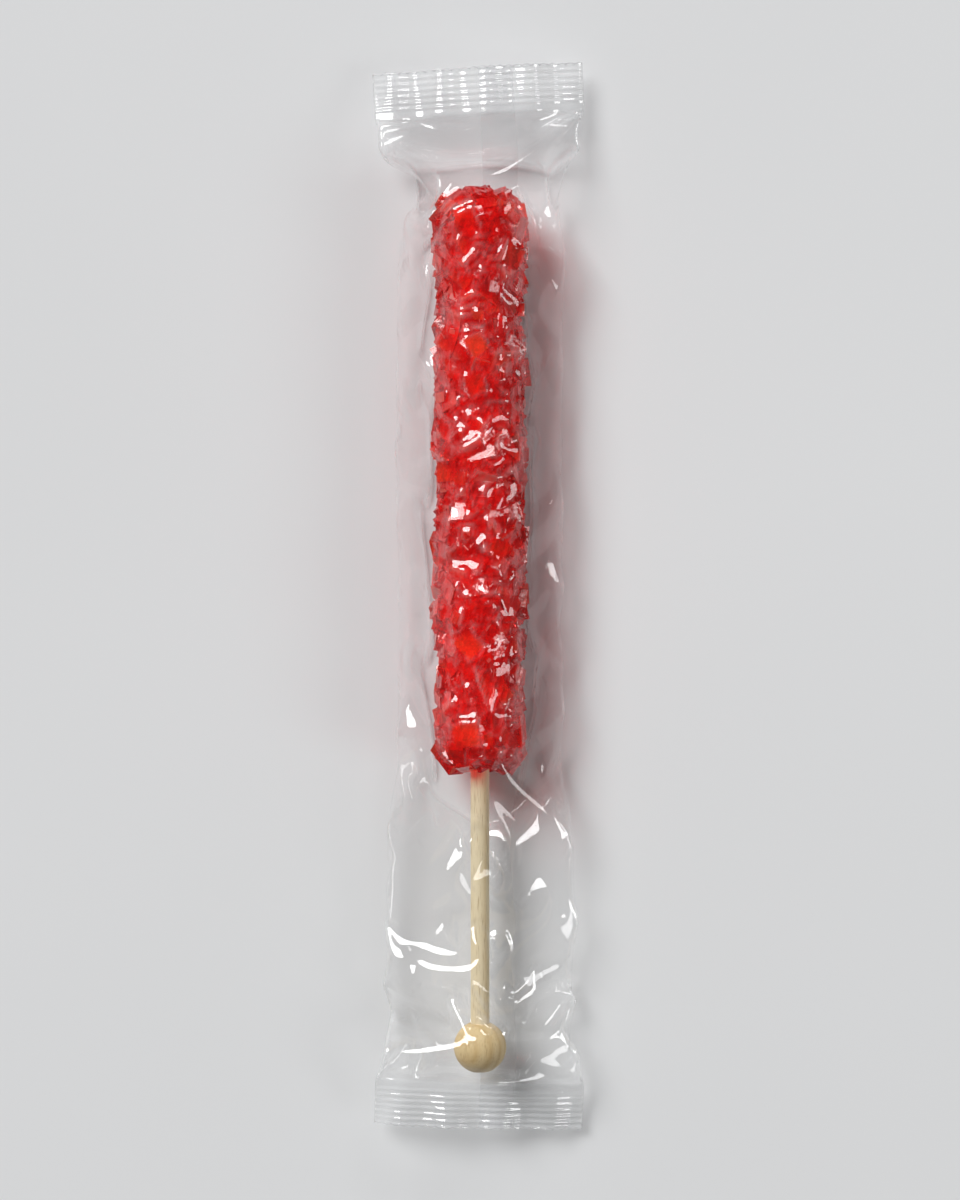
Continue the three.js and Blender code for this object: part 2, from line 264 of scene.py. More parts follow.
def apply_booleans(made: bpy.types.Object, joins: list, cuts: list) -> None:
    """Joins solids to an object and cuts others out of it, and bakes the result into its mesh.

    Args:
        made: The object to change.
        joins: Closed meshes to join to it, in order.
        cuts: Closed meshes to cut out of it after that.
    """
    for operation, tools in (("UNION", joins), ("DIFFERENCE", cuts)):
        for tool in tools:
            step = made.modifiers.new(tool.name, "BOOLEAN")
            step.operation = operation
            step.solver = "MANIFOLD"
            step.object = tool
    baked = bpy.data.meshes.new_from_object(made.evaluated_get(bpy.context.evaluated_depsgraph_get()))
    made.modifiers.clear()
    old, made.data = made.data, baked
    baked.name = made.name
    bpy.data.meshes.remove(old)


def dress(piece: bpy.types.Object, solid: Solid, finish: bpy.types.Material) -> None:
    """Gives a finished piece its material and sets it in the frame.

    Args:
        piece: The object to dress.
        solid: The CAD node that it stands for.
        finish: Its material.
    """
    piece.data.materials.clear()
    piece.data.materials.append(finish)
    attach(piece, BODY)
    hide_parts(solid.value)
    faces = len(piece.data.polygons)
    log.info("%s stands for node %s, %d faces, finish %s", piece.name, solid.value, faces, finish.name)


def linear(code: str) -> tuple[float, float, float, float]:
    """The linear colour of a hex code such as #d3161c.

    Args:
        code: A hash sign and six hex digits.

    Returns:
        Red, green, blue and an alpha of 1.
    """
    shares = [int(code[i : i + 2], 16) / 255 for i in (1, 3, 5)]
    return (*[s / 12.92 if s <= 0.04045 else ((s + 0.055) / 1.055) ** 2.4 for s in shares], 1.0)


class Wiring:
    """Adds and links the nodes of one node tree."""

    def __init__(self, tree: bpy.types.NodeTree) -> None:
        """Keeps the tree to wire.

        Args:
            tree: A material's, a world's or a group's node tree.
        """
        self.tree = tree

    def add(self, kind: str, **settings: object) -> bpy.types.Node:
        """Adds a node.

        Args:
            kind: The node's type name.
            settings: Properties to set on it.

        Returns:
            The node.
        """
        node = self.tree.nodes.new(kind)
        for name, value in settings.items():
            setattr(node, name, value)
        return node

    def feed(self, socket: Socket, value: Value) -> None:
        """Links an output to an input, or sets the input's own value.

        Args:
            socket: The input.
            value: An output socket or a plain value.
        """
        if isinstance(value, bpy.types.NodeSocket):
            self.tree.links.new(value, socket)
        else:
            socket.default_value = value

    def math(self, operation: str, *values: Value, clamp: bool = False) -> Socket:
        """A Math node.

        Args:
            operation: Its operation.
            values: Its inputs.
            clamp: True to hold the result between 0 and 1.

        Returns:
            Its output.
        """
        node = self.add("ShaderNodeMath", operation=operation, use_clamp=clamp)
        for socket, value in zip(node.inputs, values):
            self.feed(socket, value)
        return node.outputs[0]

    def remap(
        self, value: Value, low: float, high: float, to_low: float = 0.0, to_high: float = 1.0
    ) -> Socket:
        """Moves one range of values onto another, and holds the result inside it.

        Args:
            value: What to move.
            low: The value that becomes to_low.
            high: The value that becomes to_high.
            to_low: The result's one end.
            to_high: The result's other end.

        Returns:
            The moved value.
        """
        node = self.add("ShaderNodeMapRange")
        inputs = {"Value": value, "From Min": low, "From Max": high, "To Min": to_low, "To Max": to_high}
        for name, given in inputs.items():
            self.feed(node.inputs[name], given)
        return node.outputs["Result"]

    def mix(self, share: Value, first: Value, second: Value) -> Socket:
        """A blend of two colours.

        Args:
            share: How much of the second shows.
            first: The colour at 0.
            second: The colour at 1.

        Returns:
            The blended colour.
        """
        node = self.add("ShaderNodeMix", data_type="RGBA")
        for socket, value in zip((node.inputs[0], node.inputs[6], node.inputs[7]), (share, first, second)):
            self.feed(socket, value)
        return node.outputs[2]

    def blend(self, share: Value, first: Socket, second: Socket) -> Socket:
        """A blend of two shaders.

        Args:
            share: How much of the second shows.
            first: The shader at 0.
            second: The shader at 1.

        Returns:
            The blended shader.
        """
        node = self.add("ShaderNodeMixShader")
        for socket, value in zip(node.inputs, (share, first, second)):
            self.feed(socket, value)
        return node.outputs[0]

    def noise(self, vector: Socket, scale: Value, detail: float) -> Socket:
        """Soft noise around 0.5.

        Args:
            vector: Where to read it.
            scale: Lumps to a metre.
            detail: Octaves.

        Returns:
            The noise.
        """
        node = self.add("ShaderNodeTexNoise")
        for name, given in {"Vector": vector, "Scale": scale, "Detail": detail}.items():
            self.feed(node.inputs[name], given)
        return node.outputs["Fac"]

    def place(self) -> Socket:
        """The surface's own coordinates, in metres."""
        return self.add("ShaderNodeTexCoord").outputs["Object"]

    def read(self, attribute: str) -> Socket:
        """A number stored on the mesh."""
        return self.add("ShaderNodeAttribute", attribute_name=attribute).outputs["Fac"]

    def vector(self, operation: str, first: Value, second: Value) -> Socket:
        """A Vector Math node that gives a vector.

        Args:
            operation: Its operation.
            first: Its first vector.
            second: Its second vector.

        Returns:
            Its output.
        """
        node = self.add("ShaderNodeVectorMath", operation=operation)
        self.feed(node.inputs[0], first)
        self.feed(node.inputs[1], second)
        return node.outputs[0]

    def bump(self, height: Socket, depth: float) -> Socket:
        """A normal tilted by a height.

        Args:
            height: The height, usually 0 to 1.
            depth: What a height of 1 stands for, in metres.

        Returns:
            The normal.
        """
        node = self.add("ShaderNodeBump")
        self.feed(node.inputs["Height"], height)
        node.inputs["Distance"].default_value = depth
        return node.outputs["Normal"]

    def principled(self, colour: Value, roughness: Value, normal: Socket | None = None) -> bpy.types.Node:
        """A Principled BSDF.

        Args:
            colour: Its base colour.
            roughness: Its roughness.
            normal: Its normal, where it is tilted.

        Returns:
            The node.
        """
        node = self.add("ShaderNodeBsdfPrincipled")
        self.feed(node.inputs["Base Color"], colour)
        self.feed(node.inputs["Roughness"], roughness)
        if normal is not None:
            self.feed(node.inputs["Normal"], normal)
        return node

    def use(self, group: bpy.types.NodeTree, **values: Value) -> bpy.types.Node:
        """Places a node group.

        Args:
            group: The group.
            values: Its inputs by name.

        Returns:
            The group's node.
        """
        node = self.add("ShaderNodeGroup", node_tree=group)
        for name, value in values.items():
            self.feed(node.inputs[name], value)
        return node


@dataclass(frozen=True)
class NewGroup:
    """A shader node group under construction, with its wiring and its sockets by name."""

    tree: bpy.types.NodeTree
    wiring: Wiring
    given: bpy.types.bpy_prop_collection
    out: bpy.types.bpy_prop_collection

    @classmethod
    def start(cls, name: str, inputs: dict[str, str], outputs: dict[str, str]) -> NewGroup:
        """Starts a group.

        Args:
            name: The group's name.
            inputs: Input names with their socket types.
            outputs: Output names with their socket types.

        Returns:
            The group, ready to be wired.
        """
        tree = bpy.data.node_groups.new(name, "ShaderNodeTree")
        for in_out, sockets in (("INPUT", inputs), ("OUTPUT", outputs)):
            for label, kind in sockets.items():
                tree.interface.new_socket(label, in_out=in_out, socket_type=kind)
        wiring = Wiring(tree)
        return cls(tree, wiring, wiring.add("NodeGroupInput").outputs, wiring.add("NodeGroupOutput").inputs)


class Effects:
    """The node groups that several finishes share, each built once."""

    NUMBER, VECTOR = "NodeSocketFloat", "NodeSocketVector"

    def __init__(self) -> None:
        """Builds the groups."""
        self.mottle = self._mottle()
        self.grain = self._grain()

    def _mottle(self) -> bpy.types.NodeTree:
        """Large soft patches and small specks, for colour and roughness that vary over a surface.

        Returns:
            The group.
        """
        group = NewGroup.start(
            "Mottle",
            {"Vector": self.VECTOR, "Patches": self.NUMBER, "Specks": self.NUMBER},
            {"Broad": self.NUMBER, "Fine": self.NUMBER},
        )
        w, given = group.wiring, group.given
        broad = w.noise(given["Vector"], given["Patches"], detail=3.0)
        fine = w.noise(given["Vector"], given["Specks"], detail=2.0)
        w.feed(group.out["Broad"], w.remap(broad, low=0.3, high=0.7))
        w.feed(group.out["Fine"], w.remap(fine, low=0.35, high=0.65))
        return group.tree

    def _grain(self) -> bpy.types.NodeTree:
        """Wood grain along Y: growth rings about a pith beside the piece, and short fine pores.

        Returns:
            The group.
        """
        ring_stretch, wander_stretch, pore_stretch = (1.0, 0.04, 1.0), (1.0, 0.12, 1.0), (1.0, 0.06, 1.0)
        wanders_per_metre, ring_wander, ring_sharpness = 260.0, 1.6, 1.6
        ring_height, pore_depth = 0.3, 0.7
        group = NewGroup.start(
            "Grain",
            {"Vector": self.VECTOR, "Pith": self.VECTOR, "Rings": self.NUMBER, "Pores": self.NUMBER},
            {"Ring": self.NUMBER, "Pore": self.NUMBER, "Height": self.NUMBER},
        )
        w, given = group.wiring, group.given
        from_pith = w.vector("SUBTRACT", given["Vector"], given["Pith"])
        length = w.add("ShaderNodeVectorMath", operation="LENGTH")
        w.feed(length.inputs[0], w.vector("MULTIPLY", from_pith, ring_stretch))
        wander = w.noise(w.vector("MULTIPLY", given["Vector"], wander_stretch), wanders_per_metre, detail=2.0)
        away = w.math("MULTIPLY", length.outputs["Value"], given["Rings"])
        ring = w.math("PINGPONG", w.math("ADD", away, w.math("MULTIPLY", wander, ring_wander)), 1.0)
        pores = w.noise(w.vector("MULTIPLY", given["Vector"], pore_stretch), given["Pores"], detail=3.0)
        pore = w.remap(pores, low=0.56, high=0.68)
        raised, sunk = w.math("MULTIPLY", ring, ring_height), w.math("MULTIPLY", pore, pore_depth)
        w.feed(group.out["Ring"], w.math("POWER", ring, ring_sharpness))
        w.feed(group.out["Pore"], pore)
        w.feed(group.out["Height"], w.math("SUBTRACT", raised, sunk))
        return group.tree


@dataclass(frozen=True)
class Finish(ABC):
    """A procedural material with soft patches and fine specks, both in lumps to a metre."""

    name: str
    patches: float
    specks: float

    def material(self, effects: Effects) -> bpy.types.Material:
        """Builds the material.

        Args:
            effects: The shared node groups.

        Returns:
            The material.
        """
        made = bpy.data.materials.new(self.name)
        made.use_nodes = True
        made.node_tree.nodes.clear()
        w = Wiring(made.node_tree)
        mottle = w.use(effects.mottle, Vector=w.place(), Patches=self.patches, Specks=self.specks)
        shader = self.shader(w, effects, mottle.outputs["Broad"], mottle.outputs["Fine"])
        w.feed(w.add("ShaderNodeOutputMaterial").inputs["Surface"], shader)
        return made

    @abstractmethod
    def shader(self, w: Wiring, effects: Effects, broad: Socket, fine: Socket) -> Socket:
        """Wires the surface.

        Args:
            w: The material's wiring.
            effects: The shared node groups.
            broad: The patches, 0 to 1.
            fine: The specks, 0 to 1.

        Returns:
            The shader's output.
        """


@dataclass(frozen=True)
class SugarFinish(Finish):
    """Red dyed sugar crystals: clear, with painted shade that makes them deeper red in the hollows, paler
    where they are thin or frosted.
    """

    name: str = "Red sugar crystal"
    patches: float = 140.0
    specks: float = 900.0
    # deep is partly painted shade in the hollows, and partly the colour of crystals with a darker random
    # tone.
    deep: str = "#da0e16"
    body: str = "#ff2a1e"
    thin: str = "#ff7446"
    frosted: str = "#ffaa98"
    # How strongly the painted hollow shade follows how far out each corner stands.
    hollow_shade_share: float = 0.7
    tone_share: float = 0.45
    patch_share: float = 0.5
    thin_starts: float = 0.85
    thin_full: float = 1.45
    thin_share: float = 0.85
    least_frost: float = 0.45
    gloss: float = 0.09
    frost_roughness: float = 0.42
    clear_share: float = 0.78
    refraction: float = 1.54
    speck_height: float = 0.25
    step_depth: float = 0.00009
    shadow_tint: str = "#cf665c"

    def shader(self, w: Wiring, effects: Effects, broad: Socket, fine: Socket) -> Socket:
        """Clear crystal that lets dyed light through to what lies behind it.

        Args:
            w: The material's wiring.
            effects: The shared node groups. Not used here.
            broad: The patches, 0 to 1.
            fine: The specks, 0 to 1.

        Returns:
            The shader's output.
        """
        tone, lift, frost = w.read("tone"), w.read("lift"), w.read("frost")
        toned = w.math("MULTIPLY", tone, self.tone_share)
        # Painted shade: the red deepens towards the hollows, and also with each crystal's random tone.
        depth = w.math("ADD", w.math("MULTIPLY", lift, self.hollow_shade_share), toned, clamp=True)
        edge = w.math("ADD", lift, w.math("MULTIPLY", broad, self.patch_share))
        edge = w.remap(edge, self.thin_starts, self.thin_full, to_high=self.thin_share)
        hazed = w.math("MULTIPLY", frost, w.remap(fine, 0.0, 1.0, to_low=self.least_frost))
        colour = w.mix(depth, linear(self.deep), linear(self.body))
        colour = w.mix(edge, colour, linear(self.thin))
        colour = w.mix(hazed, colour, linear(self.frosted))
        steps = w.math("ADD", broad, w.math("MULTIPLY", fine, self.speck_height))
        roughness = w.remap(frost, 0.0, 1.0, self.gloss, self.frost_roughness)
        crystal = w.principled(colour, roughness, w.bump(steps, self.step_depth))
        crystal.inputs["IOR"].default_value = self.refraction
        crystal.inputs["Transmission Weight"].default_value = self.clear_share
        shade = w.add("ShaderNodeBsdfTransparent")
        shade.inputs["Color"].default_value = linear(self.shadow_tint)
        in_shadow = w.add("ShaderNodeLightPath").outputs["Is Shadow Ray"]
        return w.blend(in_shadow, crystal.outputs["BSDF"], shade.outputs["BSDF"])


@dataclass(frozen=True)
class HeartFinish(Finish):
    """The cloudy sugar under the clear crystals, which sends the light back through them."""

    name: str = "Cloudy red sugar"
    patches: float = 260.0
    specks: float = 900.0
    deep: str = "#b80c10"
    bright: str = "#f2301e"
    cloud: str = "#f78a78"
    cloud_starts: float = 0.7
    cloud_share: float = 0.5
    smoothest: float = 0.55
    roughest: float = 0.75
    relief: float = 0.0006

    def shader(self, w: Wiring, effects: Effects, broad: Socket, fine: Socket) -> Socket:
        """Opaque red sugar with pale clouds.

        Args:
            w: The material's wiring.
            effects: The shared node groups. Not used here.
            broad: The patches, 0 to 1.
            fine: The specks, 0 to 1.

        Returns:
            The shader's output.
        """
        cloudy = w.remap(fine, self.cloud_starts, 1.0, to_high=self.cloud_share)
        colour = w.mix(broad, linear(self.deep), linear(self.bright))
        colour = w.mix(cloudy, colour, linear(self.cloud))
        roughness = w.remap(fine, 0.0, 1.0, self.smoothest, self.roughest)
        return w.principled(colour, roughness, w.bump(broad, self.relief)).outputs["BSDF"]


@dataclass(frozen=True)
class BirchFinish(Finish):
    """Bare sanded birch, with its grain along the stick."""

    name: str = "Pale birch"
    patches: float = 220.0
    specks: float = 2600.0
    pale: str = "#e8d8b4"
    ringed: str = "#d6bd8e"
    pore: str = "#a9824f"
    pith: tuple[float, float, float] = (0.006, 0.0, 0.004)
    rings_per_metre: float = 900.0
    pores_per_metre: float = 5200.0
    least_ring: float = 0.5
    pore_share: float = 0.5
    smoothest: float = 0.54
    roughest: float = 0.7
    relief: float = 0.00005

    def shader(self, w: Wiring, effects: Effects, broad: Socket, fine: Socket) -> Socket:
        """Pale wood with darker rings and pores.

        Args:
            w: The material's wiring.
            effects: The shared node groups.
            broad: The patches, 0 to 1.
            fine: The specks, 0 to 1.

        Returns:
            The shader's output.
        """
        rings, pores = self.rings_per_metre, self.pores_per_metre
        grain = w.use(effects.grain, Vector=w.place(), Pith=self.pith, Rings=rings, Pores=pores).outputs
        banded = w.math("MULTIPLY", grain["Ring"], w.remap(broad, 0.0, 1.0, to_low=self.least_ring))
        marked = w.math("MULTIPLY", grain["Pore"], self.pore_share)
        colour = w.mix(banded, linear(self.pale), linear(self.ringed))
        colour = w.mix(marked, colour, linear(self.pore))
        roughness = w.remap(fine, 0.0, 1.0, self.smoothest, self.roughest)
        return w.principled(colour, roughness, w.bump(grain["Height"], self.relief)).outputs["BSDF"]


@dataclass(frozen=True)
class FilmFinish(Finish):
    """Thin clear film that mirrors more at a slant than head on, and is cloudier at seals and at folds; the
    folds' whiteness is partly a painted highlight.
    """

    name: str = "Clear film"
    patches: float = 70.0
    specks: float = 420.0
    milk: str = "#f4f6f8"
    mirror: str = "#ffffff"
    mirror_head_on: float = 0.05
    slant_power: float = 5.0
    least_haze: float = 0.0024
    most_haze: float = 0.0056
    fold_whitening_and_highlight: float = 0.3
    crimp_haze: float = 0.16
    milk_roughness: float = 0.25
    crimp_roughness: float = 0.4
    gloss: float = 0.055

    def shader(self, w: Wiring, effects: Effects, broad: Socket, fine: Socket) -> Socket:
        """Clear sheet with a little haze, under its own reflection.

        Args:
            w: The material's wiring.
            effects: The shared node groups. Not used here.
            broad: The patches, 0 to 1.
            fine: The specks, 0 to 1. Not used here.

        Returns:
            The shader's output.
        """
        fold, crimp = w.read("fold"), w.read("crimp")
        haze = w.remap(broad, 0.0, 1.0, self.least_haze, self.most_haze)
        # At folds the milky haze is partly stress-whitening and partly a painted highlight along the creases.
        for mask, share in ((fold, self.fold_whitening_and_highlight), (crimp, self.crimp_haze)):
            haze = w.math("ADD", haze, w.math("MULTIPLY", mask, share))
        clear = w.add("ShaderNodeBsdfTransparent").outputs["BSDF"]
        roughness = w.remap(crimp, 0.0, 1.0, self.milk_roughness, self.crimp_roughness)
        milky = w.principled(linear(self.milk), roughness)
        mirror = w.add("ShaderNodeBsdfGlossy")
        mirror.inputs["Color"].default_value = linear(self.mirror)
        mirror.inputs["Roughness"].default_value = self.gloss
        slant = w.math("POWER", w.add("ShaderNodeLayerWeight").outputs["Facing"], self.slant_power)
        share = w.remap(slant, 0.0, 1.0, to_low=self.mirror_head_on)
        return w.blend(share, w.blend(haze, clear, milky.outputs["BSDF"]), mirror.outputs["BSDF"])


@dataclass(frozen=True)
class FloorFinish(Finish):
    """A pale matt tabletop."""

    name: str = "Pale tabletop"
    patches: float = 3.0
    specks: float = 600.0
    pale: str = "#e8e9ea"
    cloud: str = "#e2e3e4"
    smoothest: float = 0.75
    roughest: float = 0.85

    def shader(self, w: Wiring, effects: Effects, broad: Socket, fine: Socket) -> Socket:
        """Plain pale paint.

        Args:
            w: The material's wiring.
            effects: The shared node groups. Not used here.
            broad: The patches, 0 to 1.
            fine: The specks, 0 to 1.

        Returns:
            The shader's output.
        """
        colour = w.mix(broad, linear(self.pale), linear(self.cloud))
        return w.principled(colour, w.remap(fine, 0.0, 1.0, self.smoothest, self.roughest)).outputs["BSDF"]


@dataclass(frozen=True)
class CrystalSize:
    """One size of crystal in the coat: how far apart, how large and how deep they sit."""

    spacing: float
    smallest: float
    largest: float
    least_sink: float
    most_sink: float


@dataclass
class CrystalCoat:
    """The candy: sugar crystals grown together over a core round the stick."""

    layout: Layout
    seed: int = 20
    tone_seed: int = 21
    heart_seed: int = 25
    sizes: tuple[CrystalSize, ...] = (
        CrystalSize(spacing=5.0, smallest=1.7, largest=2.7, least_sink=0.0, most_sink=1.1),
        CrystalSize(spacing=4.2, smallest=1.2, largest=2.0, least_sink=0.1, most_sink=1.2),
        CrystalSize(spacing=3.6, smallest=0.6, largest=1.0, least_sink=0.5, most_sink=1.4),
        CrystalSize(spacing=5.2, smallest=0.35, largest=0.6, least_sink=0.4, most_sink=1.1),
    )
    # The outline: shallow waves along the candy, and a foot that is a little slimmer than its tip.
    waists: tuple[Wave, ...] = (Wave(0.22, 19.0, 0.6), Wave(0.18, 41.0, 2.2))
    slimming: float = 0.75
    slimming_starts: float = 0.55
    under_reach: float = 0.27
    foot_under_reach: float = 0.67
    tip_rounding: float = 6.5
    foot_rounding: float = 5.0
    # A crystal: a leaning block with unequal sides, turned a little away from straight outwards.
    lean: float = math.tan(math.radians(13.0))
    tilt: float = 0.33
    small_bias: float = 1.4
    spare_length: float = 0.4
    thinnest: float = 0.7
    least_taper: float = 0.72
    # Where the crystals stand, as shares of their spacing.
    ring_overlap: float = 0.9
    scatter_around: float = 0.7
    scatter_along: float = 0.8
    # How far apart the crystals of one set stay, and how many of their faces are frosted and how much.
    least_gap: float = 0.02
    frosted_share: float = 0.07
    least_frost: float = 0.35
    # The plain bodies under the crystals, and the stick's hole in both.
    core_tone: float = 0.4
    core_under: float = 2.0
    core_sides: int = 24
    core_rows: int = 8
    heart_under: float = 3.2
    heart_sides: int = 48
    heart_rows: int = 60
    heart_lumps: float = 0.35
    bore_gap: float = 0.04
    heart_bore_gap: float = 0.24
    bore_sides: int = 48
    bore_beyond: float = 5.0
    # The level cut on the underside, and how fast the outline falls away past the tip's shoulder.
    resting_height: float = 0.45
    clear_of_all: float = 300.0
    tip_fall: float = 0.5

    def body_reach(self, y: np.ndarray | float) -> np.ndarray | float:
        """How far the crystals reach from the axis at a place along the candy.

        Args:
            y: Places along the stick.

        Returns:
            The reach at each.
        """
        along = (self.layout.candy_tip - y) / (self.layout.candy_tip - self.layout.candy_foot)
        waist = sum(wave.at(along) for wave in self.waists)
        slimmer = self.slimming * np.maximum(0.0, along - self.slimming_starts)
        return self.layout.candy_reach - self.under_reach + waist - slimmer

    def outline(self) -> list[tuple[float, Stretch]]:
        """The candy's outline from the middle of its tip to its foot on the stick.

        Returns:
            For each stretch, its length and a function from 0..1 to radius, y, and the outward direction.
        """
        tip, foot, reach = self.layout.candy_tip, self.layout.candy_foot, self.layout.candy_reach
        tip_rounding, foot_rounding = self.tip_rounding, self.foot_rounding
        flat, base = reach - self.under_reach - tip_rounding, reach - self.foot_under_reach - foot_rounding
        top, low = tip - tip_rounding, foot + foot_rounding

        def end(t: float) -> tuple[float, float, float, float]:
            """The flat tip."""
            return flat * t, tip, 0.0, 1.0

        def shoulder(t: float) -> tuple[float, float, float, float]:
            """The rounded tip."""
            out, up = math.sin(t * QUARTER_TURN), math.cos(t * QUARTER_TURN)
            return flat + tip_rounding * out, top + tip_rounding * up, out, up

        def side(t: float) -> tuple[float, float, float, float]:
            """The long side."""
            y = top + (low - top) * t
            return self.body_reach(y), y, 1.0, 0.0

        def heel(t: float) -> tuple[float, float, float, float]:
            """The rounded foot."""
            out, down = math.cos(t * QUARTER_TURN), math.sin(t * QUARTER_TURN)
            return base + foot_rounding * out, low - foot_rounding * down, out, -down

        return [
            (flat, end),
            (tip_rounding * QUARTER_TURN, shoulder),
            (top - low, side),
            (foot_rounding * QUARTER_TURN, heel),
        ]

    def block(self, size: CrystalSize, outward: np.ndarray, rng: np.random.Generator) -> np.ndarray:
        """One leaning block, with one of its faces turned roughly outwards.

        Args:
            size: The crystal's size range.
            outward: The direction that it grows in.
            rng: The seeded draw.

        Returns:
            Its eight corners, about its middle.
        """
        wide = size.smallest + (size.largest - size.smallest) * rng.random() ** self.small_bias
        long = wide * (1 + self.spare_length * rng.random())
        thin = wide * (self.thinnest + (1 - self.thinnest) * rng.random())
        taper = self.least_taper + (1 - self.least_taper) * rng.random()
        corners = box_corners((-long, -wide, -thin), (long, wide, thin))
        corners[4:, :2] *= taper
        corners[:, 0] += corners[:, 2] * self.lean
        corners = np.roll(corners, rng.integers(3), axis=1)
        facing = outward + rng.normal(size=3) * self.tilt
        facing /= np.linalg.norm(facing)
        side = np.cross(facing, rng.normal(size=3))
        side /= np.linalg.norm(side)
        return corners @ np.stack([side, np.cross(facing, side), facing])

    def crystals(self) -> list[np.ndarray]:
        """All crystals in place, ring by ring along the outline.

        Returns:
            The corners of each crystal.
        """
        rng = np.random.default_rng(self.seed)
        placed = []
        for size in self.sizes:
            ring = 0
            for length, at in self.outline():
                rings = max(1, round(length / (size.spacing * self.ring_overlap)))
                for i in range(rings):
                    ring += 1
                    t = (i + 0.5) / rings
                    count = max(1, round(FULL_TURN * at(t)[0] / size.spacing))
                    for k in range(count):
                        turned = k + (ring % 2) / 2 + self.scatter_around * (rng.random() - 0.5)
                        shift = self.scatter_along * (rng.random() - 0.5) / rings
                        spot = at(min(max(t + shift, 0.0), 1.0))
                        placed.append(self._grow(size, spot, turned / count * FULL_TURN, rng))
        return placed

    def _grow(self, size: CrystalSize, spot: tuple, around: float, rng: np.random.Generator) -> np.ndarray:
        """One crystal on the outline.

        Args:
            size: The crystal's size range.
            spot: Radius, y, and the outward direction out from the axis and along it.
            around: The angle round the axis.
            rng: The seeded draw.

        Returns:
            Its corners, in place.
        """
        radius, y, out, along = spot
        across, up = math.cos(around), math.sin(around)
        outward = np.array([out * across, along, out * up])
        corners = self.block(size, outward, rng)
        sink = size.least_sink + (size.most_sink - size.least_sink) * rng.random()
        centre = np.array([radius * across, y, self.layout.axis_height + radius * up])
        return corners + centre - outward * ((corners @ outward).max() + sink)

    def _apart(self, placed: list[np.ndarray]) -> list[list[int]]:
        """Sorts crystals into sets whose members don't touch, so that each set is one clean solid.

        Args:
            placed: The corners of each crystal.

        Returns:
            The crystals' numbers in each set.
        """
        centres = np.array([c.mean(axis=0) for c in placed])
        reach = np.array([np.linalg.norm(c - m, axis=1).max() for c, m in zip(placed, centres)])
        sets: list[list[int]] = []
        for i in np.argsort(-reach, kind="stable"):
            for members in sets:
                away = np.linalg.norm(centres[members] - centres[i], axis=1)
                if np.all(away > reach[members] + reach[i] + self.least_gap):
                    members.append(int(i))
                    break
            else:
                sets.append([int(i)])
        return sets

    def _cluster(self, name: str, crystals: list[np.ndarray], rng: np.random.Generator) -> bpy.types.Object:
        """Crystals that don't touch, as one mesh.

        Args:
            name: The object's name.
            crystals: The corners of each.
            rng: The seeded draw.

        Returns:
            The mesh, with a tone for each crystal and frost on some faces.
        """
        faces = [tuple(8 * k + v for v in side) for k in range(len(crystals)) for side in BOX_SIDES]
        made = mesh_object(name, np.concatenate(crystals), faces)
        tones = np.repeat(rng.random(len(crystals)), len(BOX_SIDES))
        frosted = rng.random(len(faces)) < self.frosted_share
        set_attribute(made.data, "tone", "FACE", tones)
        set_attribute(made.data, "frost", "FACE", frosted * rng.uniform(self.least_frost, 1.0, len(faces)))
        return made

    def _body(self, name: str, under: float, sides: int, rows: int) -> bpy.types.Object:
        """The candy's plain body, a distance under the crystals' reach.

        Args:
            name: The object's name.
            under: How far it stays under the reach.
            sides: Its number of sides.
            rows: Its number of rings along the side.

        Returns:
            A closed solid of revolution.
        """
        (flat, _), *_, (_, heel) = self.outline()
        tip, foot = self.layout.candy_tip, self.layout.candy_foot
        places = np.linspace(foot + self.foot_rounding, tip - self.tip_rounding, rows)
        side = [(self.body_reach(y) - under, y) for y in places]
        low, high = foot + under, tip - under
        profile = [(0.0, low), (heel(1.0)[0], low), *side, (flat, high), (0.0, high)]
        return turned_solid(name, profile, sides, self.layout.axis_height)

    def _bore(self, name: str, gap: float) -> bpy.types.Object:
        """The stick's hole in the candy.

        Args:
            name: The object's name.
            gap: How much wider and deeper it is than the stick.

        Returns:
            A closed cylinder from below the candy's foot.
        """
        radius, end = self.layout.stick_radius + gap, self.layout.stick_top + gap
        foot = self.layout.candy_foot - self.bore_beyond
        profile = [(0.0, foot), (radius, foot), (radius, end), (0.0, end)]
        return turned_solid(name, profile, self.bore_sides, self.layout.axis_height)

    def build(self, finish: bpy.types.Material, heart_finish: bpy.types.Material) -> bpy.types.Object:
        """Grows the crystals together over their cloudy heart, and dresses both.

        Args:
            finish: The clear crystals' material.
            heart_finish: The material of what lies under them.

        Returns:
            The crystals.
        """
        candy = self._body("sugar_crystals", self.core_under, self.core_sides, self.core_rows)
        set_attribute(candy.data, "tone", "FACE", np.full(len(candy.data.polygons), self.core_tone))
        heart = self._body("sugar_heart", self.heart_under, self.heart_sides, self.heart_rows)
        self._roughen(heart.data)
        placed, rng = self.crystals(), np.random.default_rng(self.tone_seed)
        sets = self._apart(placed)
        clusters = [
            self._cluster(f"set_{n}", [placed[i] for i in members], rng) for n, members in enumerate(sets)
        ]
        hole, wide_hole = self._bore("hole", self.bore_gap), self._bore("wide_hole", self.heart_bore_gap)
        far = self.clear_of_all
        corners = box_corners((-far, -far, -far), (far, far, self.resting_height))
        below = mesh_object("below", corners, BOX_SIDES)
        apply_booleans(candy, clusters, [hole, below])
        apply_booleans(heart, [], [wide_hole])
        for tool in (*clusters, hole, wide_hole, below):
            bpy.data.objects.remove(tool)
        self._drop_scraps(candy.data)
        self._mark_lift(candy.data)
        dress(candy, Solid.CANDY, finish)
        dress(heart, Solid.CANDY, heart_finish)
        log.info("candy: %d crystals in %d sets", len(placed), len(sets))
        return candy

